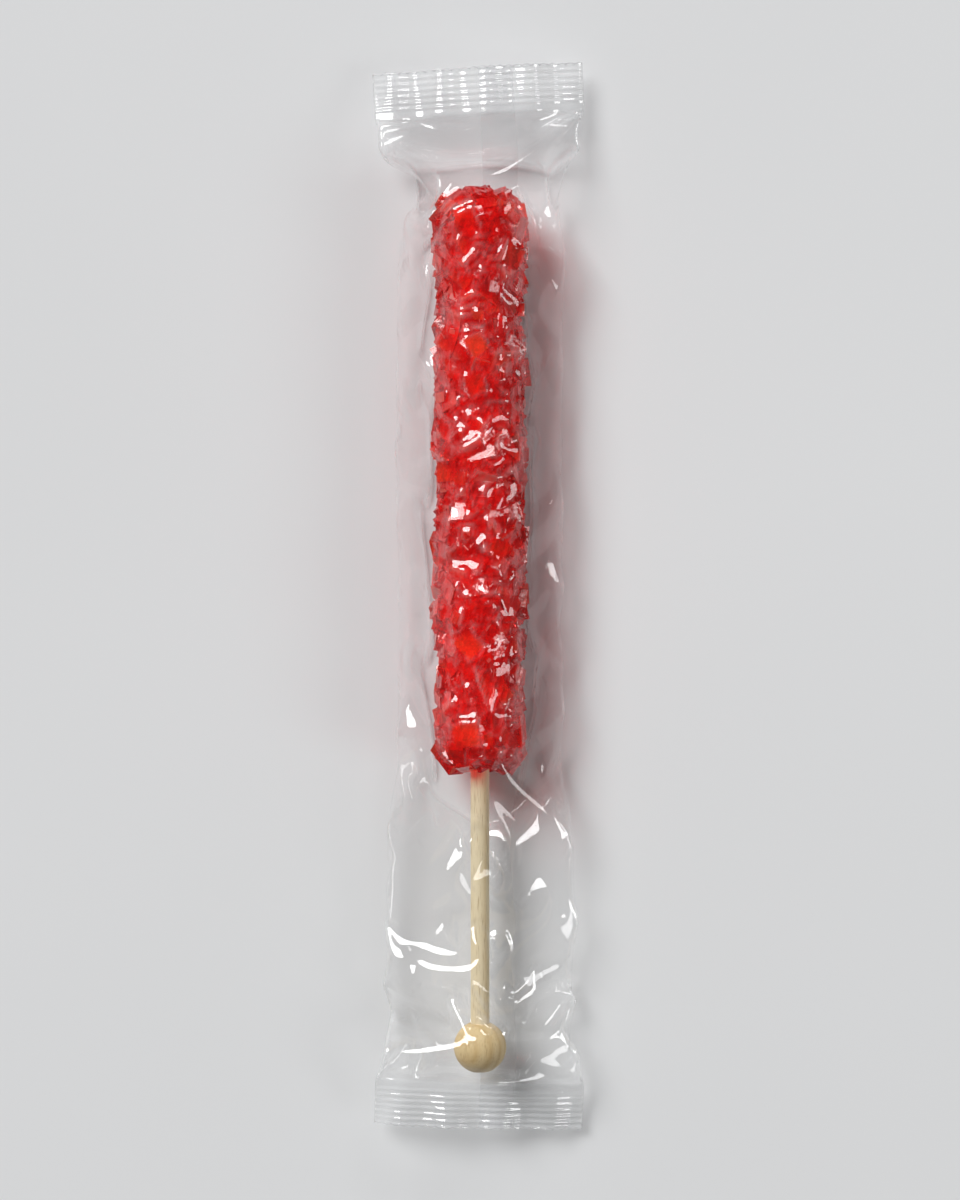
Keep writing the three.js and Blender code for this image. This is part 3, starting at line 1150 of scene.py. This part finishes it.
    def _roughen(self, mesh: bpy.types.Mesh) -> None:
        """Pushes a body's corners in and out from the axis.

        Args:
            mesh: The mesh, changed in place.
        """
        rng = np.random.default_rng(self.heart_seed)
        for vert in mesh.vertices:
            away = Vector((vert.co.x, 0.0, vert.co.z - self.layout.axis_height * MM))
            if away.length > 0:
                vert.co += away.normalized() * (self.heart_lumps * MM * float(rng.uniform(-1, 1)))

    def _drop_scraps(self, mesh: bpy.types.Mesh) -> None:
        """Keeps the largest connected shell: sealed hollows and loose scraps go.

        Args:
            mesh: The mesh, changed in place.
        """
        work = bmesh.new()
        work.from_mesh(mesh)
        left, shells = set(work.verts), []
        while left:
            todo = [left.pop()]
            shell = list(todo)
            while todo:
                near = {vert for edge in todo.pop().link_edges for vert in edge.verts} & left
                left -= near
                todo += near
                shell += near
            shells.append(shell)
        shells.sort(key=len)
        for shell in shells[:-1]:
            bmesh.ops.delete(work, geom=shell, context="VERTS")
        work.to_mesh(mesh)
        work.free()
        mesh.update()

    def _mark_lift(self, mesh: bpy.types.Mesh) -> None:
        """Stores how far out each corner stands, from 0 in the hollows to 1 at the reach; the crystals'
        material paints shade in the hollows from it.

        Args:
            mesh: The crystals' mesh.
        """
        points = np.empty(len(mesh.vertices) * 3, dtype=np.float32)
        mesh.vertices.foreach_get("co", points)
        x, y, z = (points.reshape(-1, 3) / MM).T
        past_shoulder = np.maximum(0.0, self.tip_rounding - (self.layout.candy_tip - y))
        reach = self.body_reach(y) - past_shoulder * self.tip_fall
        away = np.hypot(x, z - self.layout.axis_height)
        set_attribute(mesh, "lift", "POINT", np.clip(1 - (reach - away) / self.core_under, 0, 1))


@dataclass
class TurnedPiece(ABC):
    """A piece of wood turned about the stick's axis, with the small unevenness of a cheap lathe."""

    layout: Layout
    name: str
    solid: Solid
    slot: Slot
    sides: int
    uneven: float
    seed: int
    # Each unevenness: its strength, how often it goes round, and its radians to a millimetre along.
    wobbles: tuple[tuple[float, int, float], ...] = ((1.0, 2, 0.05), (0.6, 3, -0.09), (0.5, 0, 0.37))
    pinhole: float = 0.05
    crease: float = math.radians(40.0)

    @abstractmethod
    def profile(self) -> Profile:
        """The outline from one end of the axis to the other, as radius and y."""

    def build(self, finish: bpy.types.Material) -> bpy.types.Object:
        """Turns the piece and dresses it.

        Args:
            finish: The wood's material.

        Returns:
            The piece.
        """
        starts = np.random.default_rng(self.seed).random(len(self.wobbles)) * FULL_TURN
        around = np.arange(self.sides) / self.sides * FULL_TURN
        radius, y = (np.array(values)[:, None] for values in zip(*self.profile()))
        wobble = sum(
            strength * np.sin(turns * around + start + along * y)
            for (strength, turns, along), start in zip(self.wobbles, starts)
        )
        radius = radius + self.uneven * wobble * np.minimum(1.0, radius / self.layout.stick_radius)
        height = self.layout.axis_height + radius * np.sin(around)
        points = np.stack([radius * np.cos(around), np.broadcast_to(y, radius.shape), height], axis=-1)
        faces = [tuple(reversed(face)) for face in grid_faces(len(points), self.sides, closed=True)]
        last = (len(points) - 1) * self.sides
        faces += [tuple(range(self.sides)), tuple(last + i for i in reversed(range(self.sides)))]
        made = mesh_object(self.name, points, faces, smooth=True)
        made.data.set_sharp_from_angle(angle=self.crease)
        dress(made, self.solid, finish)
        return made


@dataclass
class Stick(TurnedPiece):
    """The birch stick, from inside the ball to inside the candy."""

    name: str = "birch_stick"
    solid: Solid = Solid.STICK
    slot: Slot = Slot.STICK
    sides: int = 48
    uneven: float = 0.018
    seed: int = 3
    bevel: float = 0.25
    rows: int = 90

    def profile(self) -> Profile:
        """A long rod with a small bevel at each end.

        Returns:
            Radius and y from one end to the other.
        """
        radius, foot, top = self.layout.stick_radius, self.layout.stick_foot, self.layout.stick_top
        side = [(radius, y) for y in np.linspace(foot + self.bevel, top - self.bevel, self.rows)]
        narrow = radius - self.bevel
        return [(self.pinhole, foot), (narrow, foot), *side, (narrow, top), (self.pinhole, top)]


@dataclass
class Ball(TurnedPiece):
    """The drilled ball that the stick is glued into."""

    name: str = "turned_ball"
    solid: Solid = Solid.BALL
    slot: Slot = Slot.BALL
    sides: int = 96
    uneven: float = 0.03
    seed: int = 8
    bore_gap: float = 0.05
    rim_bevel: float = 0.28
    rows: int = 56

    def profile(self) -> Profile:
        """A ball cut flat below, with a bevelled hole above.

        Returns:
            Radius and y from one end to the other.
        """
        radius, centre = self.layout.ball_radius, self.layout.ball_centre
        flat_radius = self.layout.ball_flat_radius
        bore = self.layout.stick_radius + self.bore_gap
        flat, mouth = math.asin(flat_radius / radius), math.asin((bore + self.rim_bevel) / radius)
        turns = np.linspace(flat, math.pi - mouth, self.rows)
        curve = [(radius * math.sin(t), centre - radius * math.cos(t)) for t in turns]
        low, rim = curve[0][1], curve[-1][1]
        floor = self.layout.stick_foot - self.bore_gap
        hole = [(bore, rim - self.rim_bevel), (bore, floor), (self.pinhole, floor)]
        return [(self.pinhole, low), (flat_radius / 2, low), *curve, *hole]


@dataclass(frozen=True)
class Seal:
    """One crimped end of the film.

    Attributes:
        end: Which end it is.
        taper: The length over which the tube narrows to it.
        droop: How far it hangs under the stick's axis.
        push: How far it was pushed in towards the contents.
        turn: How far it was turned, in radians.
        waves: How it waves up and down from side to side.
    """

    end: End
    taper: float
    droop: float
    push: float
    turn: float
    waves: tuple[Wave, ...]


@dataclass
class FilmForm:
    """The film tube's shape before it crumples, worked out from its flat width."""

    layout: Layout
    seal_length: float = 9.0
    seal_half: float = 0.09
    around_candy: float = 10.7
    over_stick: float = 5.9
    foot_taper: float = 15.0
    edge_droop: float = 2.6
    edge_waves: tuple[Wave, ...] = (Wave(1.1, 0.105, 1.1), Wave(0.5, 0.31, 2.0))
    seals: tuple[Seal, ...] = (
        Seal(
            end=End.TIP,
            taper=16.0,
            droop=2.2,
            push=1.3,
            turn=math.radians(3.2),
            waves=(Wave(1.5, 0.16, 0.8), Wave(0.65, 0.72, 0.5)),
        ),
        Seal(
            end=End.BALL,
            taper=5.0,
            droop=3.4,
            push=0.9,
            turn=math.radians(-2.2),
            waves=(Wave(-1.5, 0.13, -0.4), Wave(0.65, 0.66, -1.0)),
        ),
    )
    # The width is searched for between these steps, from just over what it goes round.
    narrowing_steps: int = 40
    barely_wider: float = 1.0005

    @property
    def half_length(self) -> float:
        """Half the film's length, which is also where its cut edges are."""
        return self.layout.film_length / 2

    @property
    def seal_start(self) -> float:
        """How far from the middle the seals start."""
        return self.half_length - self.seal_length

    def sealed(self, y: np.ndarray) -> np.ndarray:
        """Which places along the tube are in its seals."""
        return np.abs(y) >= self.seal_start - self.seal_half

    def towards_seal(self, seal: Seal, y: np.ndarray, to: float) -> np.ndarray:
        """Rises from 0 where the contents end to 1 at a place towards a seal.

        Args:
            seal: The seal.
            y: Places along the tube.
            to: The place's distance from the middle.

        Returns:
            The share at each place.
        """
        ball_end = self.layout.ball_radius - self.layout.ball_centre
        start = self.layout.candy_tip if seal.end is End.TIP else ball_end
        return smooth_step(seal.end.value * y, start, to)

    def held_open(self, y: np.ndarray) -> np.ndarray:
        """Half the tube's height.

        Args:
            y: Places along the tube.

        Returns:
            The height at each.
        """
        foot = self.layout.candy_foot
        over_candy = smooth_step(y, foot - self.foot_taper, foot)
        height = self.over_stick + (self.around_candy - self.over_stick) * over_candy
        for seal in self.seals:
            shut = smooth_step(seal.end.value * y, self.seal_start - seal.taper, self.seal_start)
            height += (self.seal_half - height) * shut
        return height

    def half_width(self, radius: np.ndarray) -> np.ndarray:
        """Half the tube's width where something holds it open, from its constant girth.

        Args:
            radius: The radius of what holds it open at each place.

        Returns:
            Half the width at each place.
        """
        flat_width = self.layout.film_width
        low, high = radius * self.barely_wider, np.full_like(radius, flat_width / 2)
        for _ in range(self.narrowing_steps):
            half = (low + high) / 2
            wing = np.sqrt(half * half - radius * radius)
            arc = radius * (math.pi - 2 * np.arccos(radius / half))
            narrow = 4 * wing + 2 * arc < 2 * flat_width
            low, high = np.where(narrow, half, low), np.where(narrow, high, half)
        return low

    def middle(self, x: np.ndarray, y: np.ndarray, half_width: np.ndarray) -> np.ndarray:
        """The height of the film's middle, drooping at its edges and curling towards the seals.

        Args:
            x: Places across the tube.
            y: Places along it.
            half_width: Half its width there.

        Returns:
            The height at each place.
        """
        edge = (np.abs(x) / half_width) ** 2
        height = self.layout.axis_height - self.edge_droop * edge
        height = height + edge * sum(wave.at(y, np.sign(x)) for wave in self.edge_waves)
        for seal in self.seals:
            share = self.towards_seal(seal, y, self.half_length)
            height = height + share * (sum(wave.at(x) for wave in seal.waves) - seal.droop)
        return height

    def rings(self, y: np.ndarray, columns: int) -> np.ndarray:
        """Points round the tube, evenly spaced along the film.

        Args:
            y: The places along the tube.
            columns: Points round it. The first is on the left edge, and they run over the top first.

        Returns:
            An array of places by columns by x, y, z.
        """
        radius = self.held_open(y)[:, None]
        half = self.half_width(radius)
        wing = np.sqrt(half * half - radius * radius)
        meets = np.arccos(radius / half)
        arc = radius * (math.pi - 2 * meets)
        top_length = 2 * wing + arc
        share = np.arange(columns) / (columns / 2)
        over = share <= 1
        s = np.where(over, share, 2 - share)[None, :] * top_length
        on_left, on_arc = s < wing, (s >= wing) & (s <= wing + arc)
        angle = math.pi - meets - (s - wing) / radius
        touch_x, touch_z = radius * np.cos(meets), radius * np.sin(meets)
        left, right = s / wing, (top_length - s) / wing
        x = np.where(on_left, -half + left * (half - touch_x), half - right * (half - touch_x))
        z = np.where(on_left, left * touch_z, right * touch_z)
        x = np.where(on_arc, radius * np.cos(angle), x)
        z = np.where(on_arc, radius * np.sin(angle), z)
        z = np.where(over[None, :], z, -z)
        along = np.broadcast_to(y[:, None], x.shape)
        return np.stack([x, along, self.middle(x, along, half) + z], axis=-1)

    def push_seals(self, points: np.ndarray) -> np.ndarray:
        """Pushes both seals in and turns them a little, which crumples the film between them.

        Args:
            points: The film's points.

        Returns:
            The moved points.
        """
        moved = points.copy()
        x, y = points[..., 0], points[..., 1]
        for seal in self.seals:
            share = self.towards_seal(seal, y, self.seal_start)
            sine, shrink = math.sin(seal.turn), math.cos(seal.turn) - 1
            from_pivot = y - seal.end.value * self.seal_start
            moved[..., 0] += share * (x * shrink - from_pivot * sine)
            moved[..., 1] += share * (x * sine + from_pivot * shrink - seal.end.value * seal.push)
        return moved


@dataclass
class Contents:
    """How far the candy, stick and ball stand out from the axis, by place along it and angle round it."""

    layout: Layout
    turns: int = 144
    rows: int = 400
    margin: float = 1.0
    outside: float = 16.0
    places: np.ndarray = field(init=False)
    reach: np.ndarray = field(init=False)

    def __post_init__(self) -> None:
        """Works out the places along the axis, and the stick's and the ball's reach at each."""
        lay = self.layout
        foot, tip = lay.stick_foot - lay.ball_radius, lay.candy_tip
        self.places = np.linspace(foot - self.margin, tip + self.margin, self.rows)
        ball = np.sqrt(np.maximum(lay.ball_radius**2 - (self.places - lay.ball_centre) ** 2, 0.0))
        stick = lay.stick_radius * ((self.places > lay.stick_foot) & (self.places < lay.stick_top))
        self.reach = np.repeat(np.maximum(ball, stick)[:, None], self.turns, axis=1)

    def measure(self, candy: bpy.types.Object) -> None:
        """Adds the candy's reach, and widens all of it by one step each way.

        Args:
            candy: The finished crystals.
        """
        tree = BVHTree.FromObject(candy, bpy.context.evaluated_depsgraph_get())
        angles = np.arange(self.turns) / self.turns * FULL_TURN
        for row in np.flatnonzero(self.places > self.layout.candy_foot - self.margin):
            axis = Vector((0.0, self.places[row], self.layout.axis_height)) * MM
            for column, angle in enumerate(angles):
                out = Vector((math.cos(angle), 0.0, math.sin(angle)))
                hit = tree.ray_cast(axis + out * (self.outside * MM), -out, self.outside * MM)[0]
                if hit is not None:
                    self.reach[row, column] = max(self.reach[row, column], (hit - axis).length / MM)
        for axis in (0, 1):
            self.reach = np.maximum.reduce([np.roll(self.reach, shift, axis=axis) for shift in (-1, 0, 1)])

    def reach_at(self, along: np.ndarray, around: np.ndarray) -> np.ndarray:
        """Reads the reach.

        Args:
            along: Places along the axis.
            around: Angles round it.

        Returns:
            The reach at each.
        """
        step = self.places[1] - self.places[0]
        row = np.clip(np.rint((along - self.places[0]) / step), 0, self.rows - 1).astype(int)
        return self.reach[row, np.rint(around / FULL_TURN * self.turns).astype(int) % self.turns]


@dataclass
class FilmDrape:
    """Lets the film crumple: it can't stretch, it is a little too long, and it rests on what it wraps."""

    form: FilmForm
    contents: Contents
    seed: int = 12
    columns: int = 56
    rows: int = 85
    # Passes on the coarse film, and on each film with twice its points each way.
    levels: tuple[int, ...] = (260, 170, 110)
    spare_length: float = 0.012
    nudge: float = 0.9
    weight: float = 0.004
    # How much of an error in a thread, a diagonal or a bend goes in one pass.
    thread_share: float = 1.0
    slant_share: float = 0.5
    bend_share: float = 0.35
    # How far the film stays off its contents, the tabletop and its other layer.
    stand_off: float = 0.14
    floor: float = 0.3
    layer_gap: float = 0.12
    least_length: float = 1e-6

    def _pull(
        self,
        first: np.ndarray,
        second: np.ndarray,
        rest: np.ndarray | float,
        share: float,
        opens: bool = False,
    ) -> None:
        """Moves pairs of points towards their rest distance.

        Args:
            first: A view of the first points.
            second: A view of the second points.
            rest: The distance that they should have.
            share: How much of the error goes at once.
            opens: True to push close pairs apart and leave far ones alone.
        """
        gap = second - first
        length = np.sqrt(np.einsum("...k,...k->...", gap, gap))[..., None]
        change = (1 - rest / np.maximum(length, self.least_length)) * (share / 2)
        if opens:
            np.minimum(change, 0, out=change)
        gap *= change
        first += gap
        second -= gap

    def _relax(self, film: np.ndarray, across: float, along: np.ndarray) -> None:
        """One pass over the film's threads, its diagonals and its bending.

        Args:
            film: The film's points, moved in place.
            across: The threads' length round the tube, point to point.
            along: Their length along it, for each row.
        """
        rows = len(film)
        slant = np.sqrt(across**2 + along**2)
        for odd in (0, 1):
            a, b = slice(odd, rows - 1, 2), slice(odd + 1, rows, 2)
            self._pull(film[a], film[b], along[a], self.thread_share)
            turned = np.roll(film, -odd, axis=1)
            self._pull(turned[:, 0::2], turned[:, 1::2], across, self.thread_share)
            for other in (0, 1):
                a, b = slice(other, rows - 1, 2), slice(other + 1, rows, 2)
                self._pull(turned[a, 0::2], turned[b, 1::2], slant[a], self.slant_share)
                self._pull(turned[a, 1::2], turned[b, 0::2], slant[a], self.slant_share)
            film[:] = np.roll(turned, odd, axis=1)
        double = along[:-1] + along[1:]
        for start in range(4):
            a, b = slice(start, rows - 2, 4), slice(start + 2, rows, 4)
            self._pull(film[a], film[b], double[a], self.bend_share, opens=True)
            turned = np.roll(film, -start, axis=1)
            self._pull(turned[:, 0::4], turned[:, 2::4], 2 * across, self.bend_share, opens=True)
            film[:] = np.roll(turned, start, axis=1)

    def _keep_clear(self, film: np.ndarray) -> None:
        """Holds the film off its contents, the tabletop and its own other layer.

        Args:
            film: The film's points, moved in place.
        """
        x, z = film[..., 0], film[..., 2] - self.form.layout.axis_height
        away = np.maximum(np.hypot(x, z), self.least_length)
        reach = self.contents.reach_at(film[..., 1], np.arctan2(z, x))
        push = np.maximum(reach + self.stand_off - away, 0) * (reach > 0) / away
        film[..., 0] += x * push
        film[..., 2] += z * push
        half = film.shape[1] // 2
        top, bottom = film[:, 1:half, 2], film[:, :half:-1, 2]
        short = np.maximum(self.layer_gap - (top - bottom), 0) / 2
        top += short
        bottom -= short
        np.maximum(film[..., 2], self.floor, out=film[..., 2])

    def settle(self) -> tuple[np.ndarray, np.ndarray]:
        """Relaxes the film from coarse to fine.

        Returns:
            The points, as rows by columns by x, y, z from the ball's seal to the tip's, and the place along
            the flat film of each row.
        """
        form = self.form
        y = np.linspace(-form.half_length, form.half_length, self.rows)
        film = form.rings(y, self.columns)
        length = np.linalg.norm(np.diff(film[:, self.columns // 4], axis=0), axis=1)
        nudge = np.random.default_rng(self.seed).normal(size=film.shape) * self.nudge
        film = form.push_seals(film) + nudge * ~form.sealed(y)[:, None, None]
        for level, passes in enumerate(self.levels):
            if level:
                film, y, length = self._finer(film, y, length)
            along = (length * (1 + self.spare_length))[:, None, None]
            across = 2 * form.layout.film_width / film.shape[1]
            sealed = form.sealed(y)
            held = form.push_seals(form.rings(y[sealed], film.shape[1]))
            for _ in range(passes):
                film[..., 2] -= self.weight
                self._relax(film, across, along)
                self._keep_clear(film)
                film[sealed] = held
            log.info("film level %d: %d by %d points, %d passes", level, *film.shape[:2], passes)
        return film, y

    @staticmethod
    def _finer(
        film: np.ndarray, y: np.ndarray, length: np.ndarray
    ) -> tuple[np.ndarray, np.ndarray, np.ndarray]:
        """Twice the points each way.

        Args:
            film: The film's points.
            y: The place of each row.
            length: The thread length from each row to the next.

        Returns:
            The same three for the finer film.
        """
        rows, places = np.repeat(film, 2, axis=0)[:-1], np.repeat(y, 2)[:-1]
        for values in (rows, places):
            values[1::2] = (values[:-1:2] + values[2::2]) / 2
        finer = np.repeat(rows, 2, axis=1)
        finer[:, 1::2] = (rows + np.roll(rows, -1, axis=1)) / 2
        return finer, places, np.repeat(length / 2, 2)


@dataclass
class FilmWrapper:
    """The film over the candy, stick and ball: a tube crimped shut at both ends, with a seam on its back."""

    layout: Layout
    form: FilmForm
    rib_pitch: float = 1.15
    rib_depth: float = 0.16
    ribs_rise: tuple[float, float] = (0.08, 0.2)
    ribs_fall: tuple[float, float] = (0.9, 0.97)
    seal_row: float = 0.24
    tooth_pitch: float = 1.63
    tooth_depth: float = 0.7
    slight_bend: float = 0.1
    sharp_bend: float = 0.7
    seam_width: float = 6.5
    seam_columns: int = 14
    seam_rows_per_rib: int = 5
    seam_drop: float = 0.14
    seam_rib_depth: float = 0.05
    seam_margin: float = 0.5
    seam_floor: float = 0.04

    def _normals(self, film: np.ndarray) -> np.ndarray:
        """Outward unit normals.

        Args:
            film: The film's points.

        Returns:
            A normal for each point.
        """
        around = np.roll(film, -1, axis=1) - np.roll(film, 1, axis=1)
        normal = np.cross(around, np.gradient(film, axis=0))
        return normal / np.linalg.norm(normal, axis=-1, keepdims=True)

    def _seal(self, end: End, columns: int) -> np.ndarray:
        """One crimped end, with its ribs and its zigzag cut.

        Args:
            end: Which end.
            columns: Points round the tube.

        Returns:
            Its rows, from the tube to the cut edge.
        """
        form, turn = self.form, 2 * self.layout.film_width
        count = int(form.seal_length / self.seal_row)
        depth = np.linspace(0, 1, count + 1)[1:]
        rows = form.rings(end.value * (form.seal_start + form.seal_length * depth), columns)
        ribs = np.sin(FULL_TURN * form.seal_length * (1 - depth) / self.rib_pitch)
        ribs *= smooth_step(depth, *self.ribs_rise) * (1 - smooth_step(depth, *self.ribs_fall))
        rows[..., 2] += self.rib_depth * ribs[:, None]
        across = np.arange(columns) * (turn / columns)
        across = np.minimum(across, turn - across)
        tooth = np.abs((across / self.tooth_pitch) % 1 - 0.5) * 2 * self.tooth_depth
        rows[-1, :, 1] -= end.value * tooth
        return form.push_seals(rows)

    def build(self, candy: bpy.types.Object, finish: bpy.types.Material) -> None:
        """Drapes the film, crimps it and dresses it, with its back seam.

        Args:
            candy: The finished crystals, which the film rests on.
            finish: The film's material.
        """
        contents = Contents(self.layout)
        contents.measure(candy)
        film, y = FilmDrape(self.form, contents).settle()
        columns = film.shape[1]
        first, last = self._seal(End.BALL, columns)[::-1], self._seal(End.TIP, columns)
        rows = np.concatenate([first, film[~self.form.sealed(y)], last])
        normals = self._normals(rows)
        crimp = np.zeros(rows.shape[:2])
        crimp[: len(first)] = crimp[-len(last) :] = 1
        tube = mesh_object("film_tube", rows, grid_faces(len(rows), columns, closed=True), smooth=True)
        # The fold mask whitens the creases in the film's material, partly as stress-whitening and partly as a
        # painted highlight.
        set_attribute(tube.data, "fold", "POINT", self._folds(normals) * (1 - crimp))
        set_attribute(tube.data, "crimp", "POINT", crimp)
        for piece in (tube, self._seam(rows, normals)):
            dress(piece, Solid.WRAPPER, finish)

    def _folds(self, normals: np.ndarray) -> np.ndarray:
        """How sharply the film is folded at each point, 0 to 1.

        Args:
            normals: The film's normals.

        Returns:
            The folds.
        """
        around = np.linalg.norm(normals - np.roll(normals, 1, axis=1), axis=-1)
        along = np.linalg.norm(np.gradient(normals, axis=0), axis=-1)
        return smooth_step(np.maximum(around, along), self.slight_bend, self.sharp_bend)

    def _seam(self, rows: np.ndarray, normals: np.ndarray) -> bpy.types.Object:
        """The ribbed seam along the film's back, folded flat to one side.

        Args:
            rows: The tube's points.
            normals: Their outward normals.

        Returns:
            The seam, as a strip that follows the tube.
        """
        columns = rows.shape[1]
        middle = 3 * columns // 4
        across = np.linspace(0, self.seam_width, self.seam_columns)
        at = middle - across / (2 * self.layout.film_width / columns)
        left = np.floor(at).astype(int)
        share = (at - left)[None, :, None]
        follow = rows[:, left] * (1 - share) + rows[:, left + 1] * share
        steps = np.linalg.norm(np.diff(rows[:, middle], axis=0), axis=1)
        path = np.concatenate([[0], np.cumsum(steps)])
        step = self.rib_pitch / self.seam_rows_per_rib
        fine = np.arange(self.seam_margin, path[-1] - self.seam_margin, step)
        strip, lift = (
            np.array([[np.interp(fine, path, line) for line in column.T] for column in grid.swapaxes(0, 1)])
            for grid in (follow, normals[:, left])
        )
        strip, lift = strip.transpose(2, 0, 1), lift.transpose(2, 0, 1)
        lift = lift / np.linalg.norm(lift, axis=-1, keepdims=True)
        rib = self.seam_rib_depth * np.sin(FULL_TURN * fine / self.rib_pitch)
        drop = self.seam_drop * (across > 0)[None, :] + rib[:, None]
        strip = strip + lift * drop[..., None]
        strip[..., 2] = np.maximum(strip[..., 2], self.seam_floor)
        faces = grid_faces(len(fine), self.seam_columns, closed=False)
        made = mesh_object("back_seam", strip, faces, smooth=True)
        set_attribute(made.data, "crimp", "POINT", np.ones(strip.shape[:2]))
        set_attribute(made.data, "fold", "POINT", np.zeros(strip.shape[:2]))
        return made


@dataclass(frozen=True)
class SoftLight:
    """One wide studio light, so far off that it lights the whole tabletop evenly."""

    name: str
    towards: tuple[float, float, float]
    spread: float
    strength: float

    def hang(self) -> None:
        """Adds the light, aimed at the part."""
        lamp = bpy.data.lights.new(self.name, "SUN")
        lamp.angle = math.radians(self.spread)
        lamp.energy = self.strength
        made = bpy.data.objects.new(self.name, lamp)
        bpy.context.scene.collection.objects.link(made)
        made.rotation_euler = Vector(self.towards).to_track_quat("Z", "Y").to_euler()


@dataclass
class Studio:
    """The tabletop, the soft lights and the camera, in metres."""

    floor_side: float = 16.0
    backdrop: str = "#dadbdd"
    walls: str = "#656362"
    ceiling: str = "#2b2b2c"
    walls_end: float = 0.1
    ceiling_starts: float = 0.45
    lights: tuple[SoftLight, ...] = (
        SoftLight("key_light", (-0.55, 0.6, 0.8), spread=30.0, strength=3.0),
        SoftLight("fill_light", (0.95, -0.25, 0.6), spread=20.0, strength=0.6),
        SoftLight("edge_light", (0.25, 1.0, 0.45), spread=12.0, strength=0.35),
    )
    camera_distance: float = 0.85
    camera_above: float = 0.035
    view_height: float = 0.222
    sensor_height: float = 36.0
    nearest: float = 0.05
    farthest: float = 20.0
    aim: tuple[float, float, float] = (0.0, 0.0, 0.01)
    clear_layers: int = 24
    bounces: int = 10

    def build(self, floor_finish: bpy.types.Material) -> None:
        """Sets up the stage.

        Args:
            floor_finish: The tabletop's material.
        """
        side = self.floor_side / MM / 2
        corners = np.array([(-side, -side, 0.0), (side, -side, 0.0), (side, side, 0.0), (-side, side, 0.0)])
        floor = mesh_object("tabletop", corners, [(0, 1, 2, 3)])
        floor.data.materials.append(floor_finish)
        for light in self.lights:
            light.hang()
        self._world()
        self._camera()
        self._rendering()
        log.info("studio: %d lights, camera %.2f m above the part", len(self.lights), self.camera_distance)

    def _world(self) -> None:
        """A backdrop as pale as the tabletop, and a dimmer room for the film and the crystals to mirror."""
        world = bpy.data.worlds.new("Pale room")
        world.use_nodes = True
        w = Wiring(world.node_tree)
        apart = w.add("ShaderNodeSeparateXYZ")
        w.feed(apart.inputs[0], w.add("ShaderNodeTexCoord").outputs["Generated"])
        rise = w.remap(apart.outputs["Z"], self.walls_end, self.ceiling_starts)
        room = w.mix(rise, linear(self.walls), linear(self.ceiling))
        seen = w.add("ShaderNodeLightPath").outputs["Is Camera Ray"]
        w.feed(world.node_tree.nodes["Background"].inputs["Color"], w.mix(seen, room, linear(self.backdrop)))
        bpy.context.scene.world = world

    def _camera(self) -> None:
        """Looks down on the part from just above its middle, as the photograph looks at the upright one."""
        lens = bpy.data.cameras.new("camera")
        lens.sensor_fit = "VERTICAL"
        lens.sensor_height = self.sensor_height
        lens.lens = self.sensor_height * self.camera_distance / self.view_height
        lens.clip_start, lens.clip_end = self.nearest, self.farthest
        made = bpy.data.objects.new("camera", lens)
        bpy.context.scene.collection.objects.link(made)
        aim = Vector(self.aim)
        made.location = aim + Vector((0.0, self.camera_above, self.camera_distance))
        back = (made.location - aim).normalized()
        right = Vector((1.0, 0.0, 0.0))
        made.rotation_euler = Matrix((right, back.cross(right), back)).transposed().to_euler()
        bpy.context.scene.camera = made

    def _rendering(self) -> None:
        """Keeps the photograph's saturated reds, and lets light through all of the film's layers."""
        scene = bpy.context.scene
        scene.view_settings.view_transform = "Standard"
        scene.cycles.transparent_max_bounces = self.clear_layers
        scene.cycles.max_bounces = self.bounces
        scene.cycles.transmission_bounces = self.bounces
        scene.cycles.use_denoising = True


def main() -> None:
    """Builds the pieces in order."""
    logging.basicConfig(level=logging.INFO, format="%(name)s: %(message)s")
    layout, effects = Layout.from_frame(), Effects()
    candy = CrystalCoat(layout).build(SugarFinish().material(effects), HeartFinish().material(effects))
    Stick(layout).build(BirchFinish().material(effects))
    ball_finish = BirchFinish(name="Turned birch", pale="#e0c898", ringed="#cdae78", pith=(0.011, 0.0, 0.002))
    Ball(layout).build(ball_finish.material(effects))
    FilmWrapper(layout, FilmForm(layout)).build(candy, FilmFinish().material(effects))
    Studio().build(FloorFinish().material(effects))


if __name__ == "__main__":
    main()
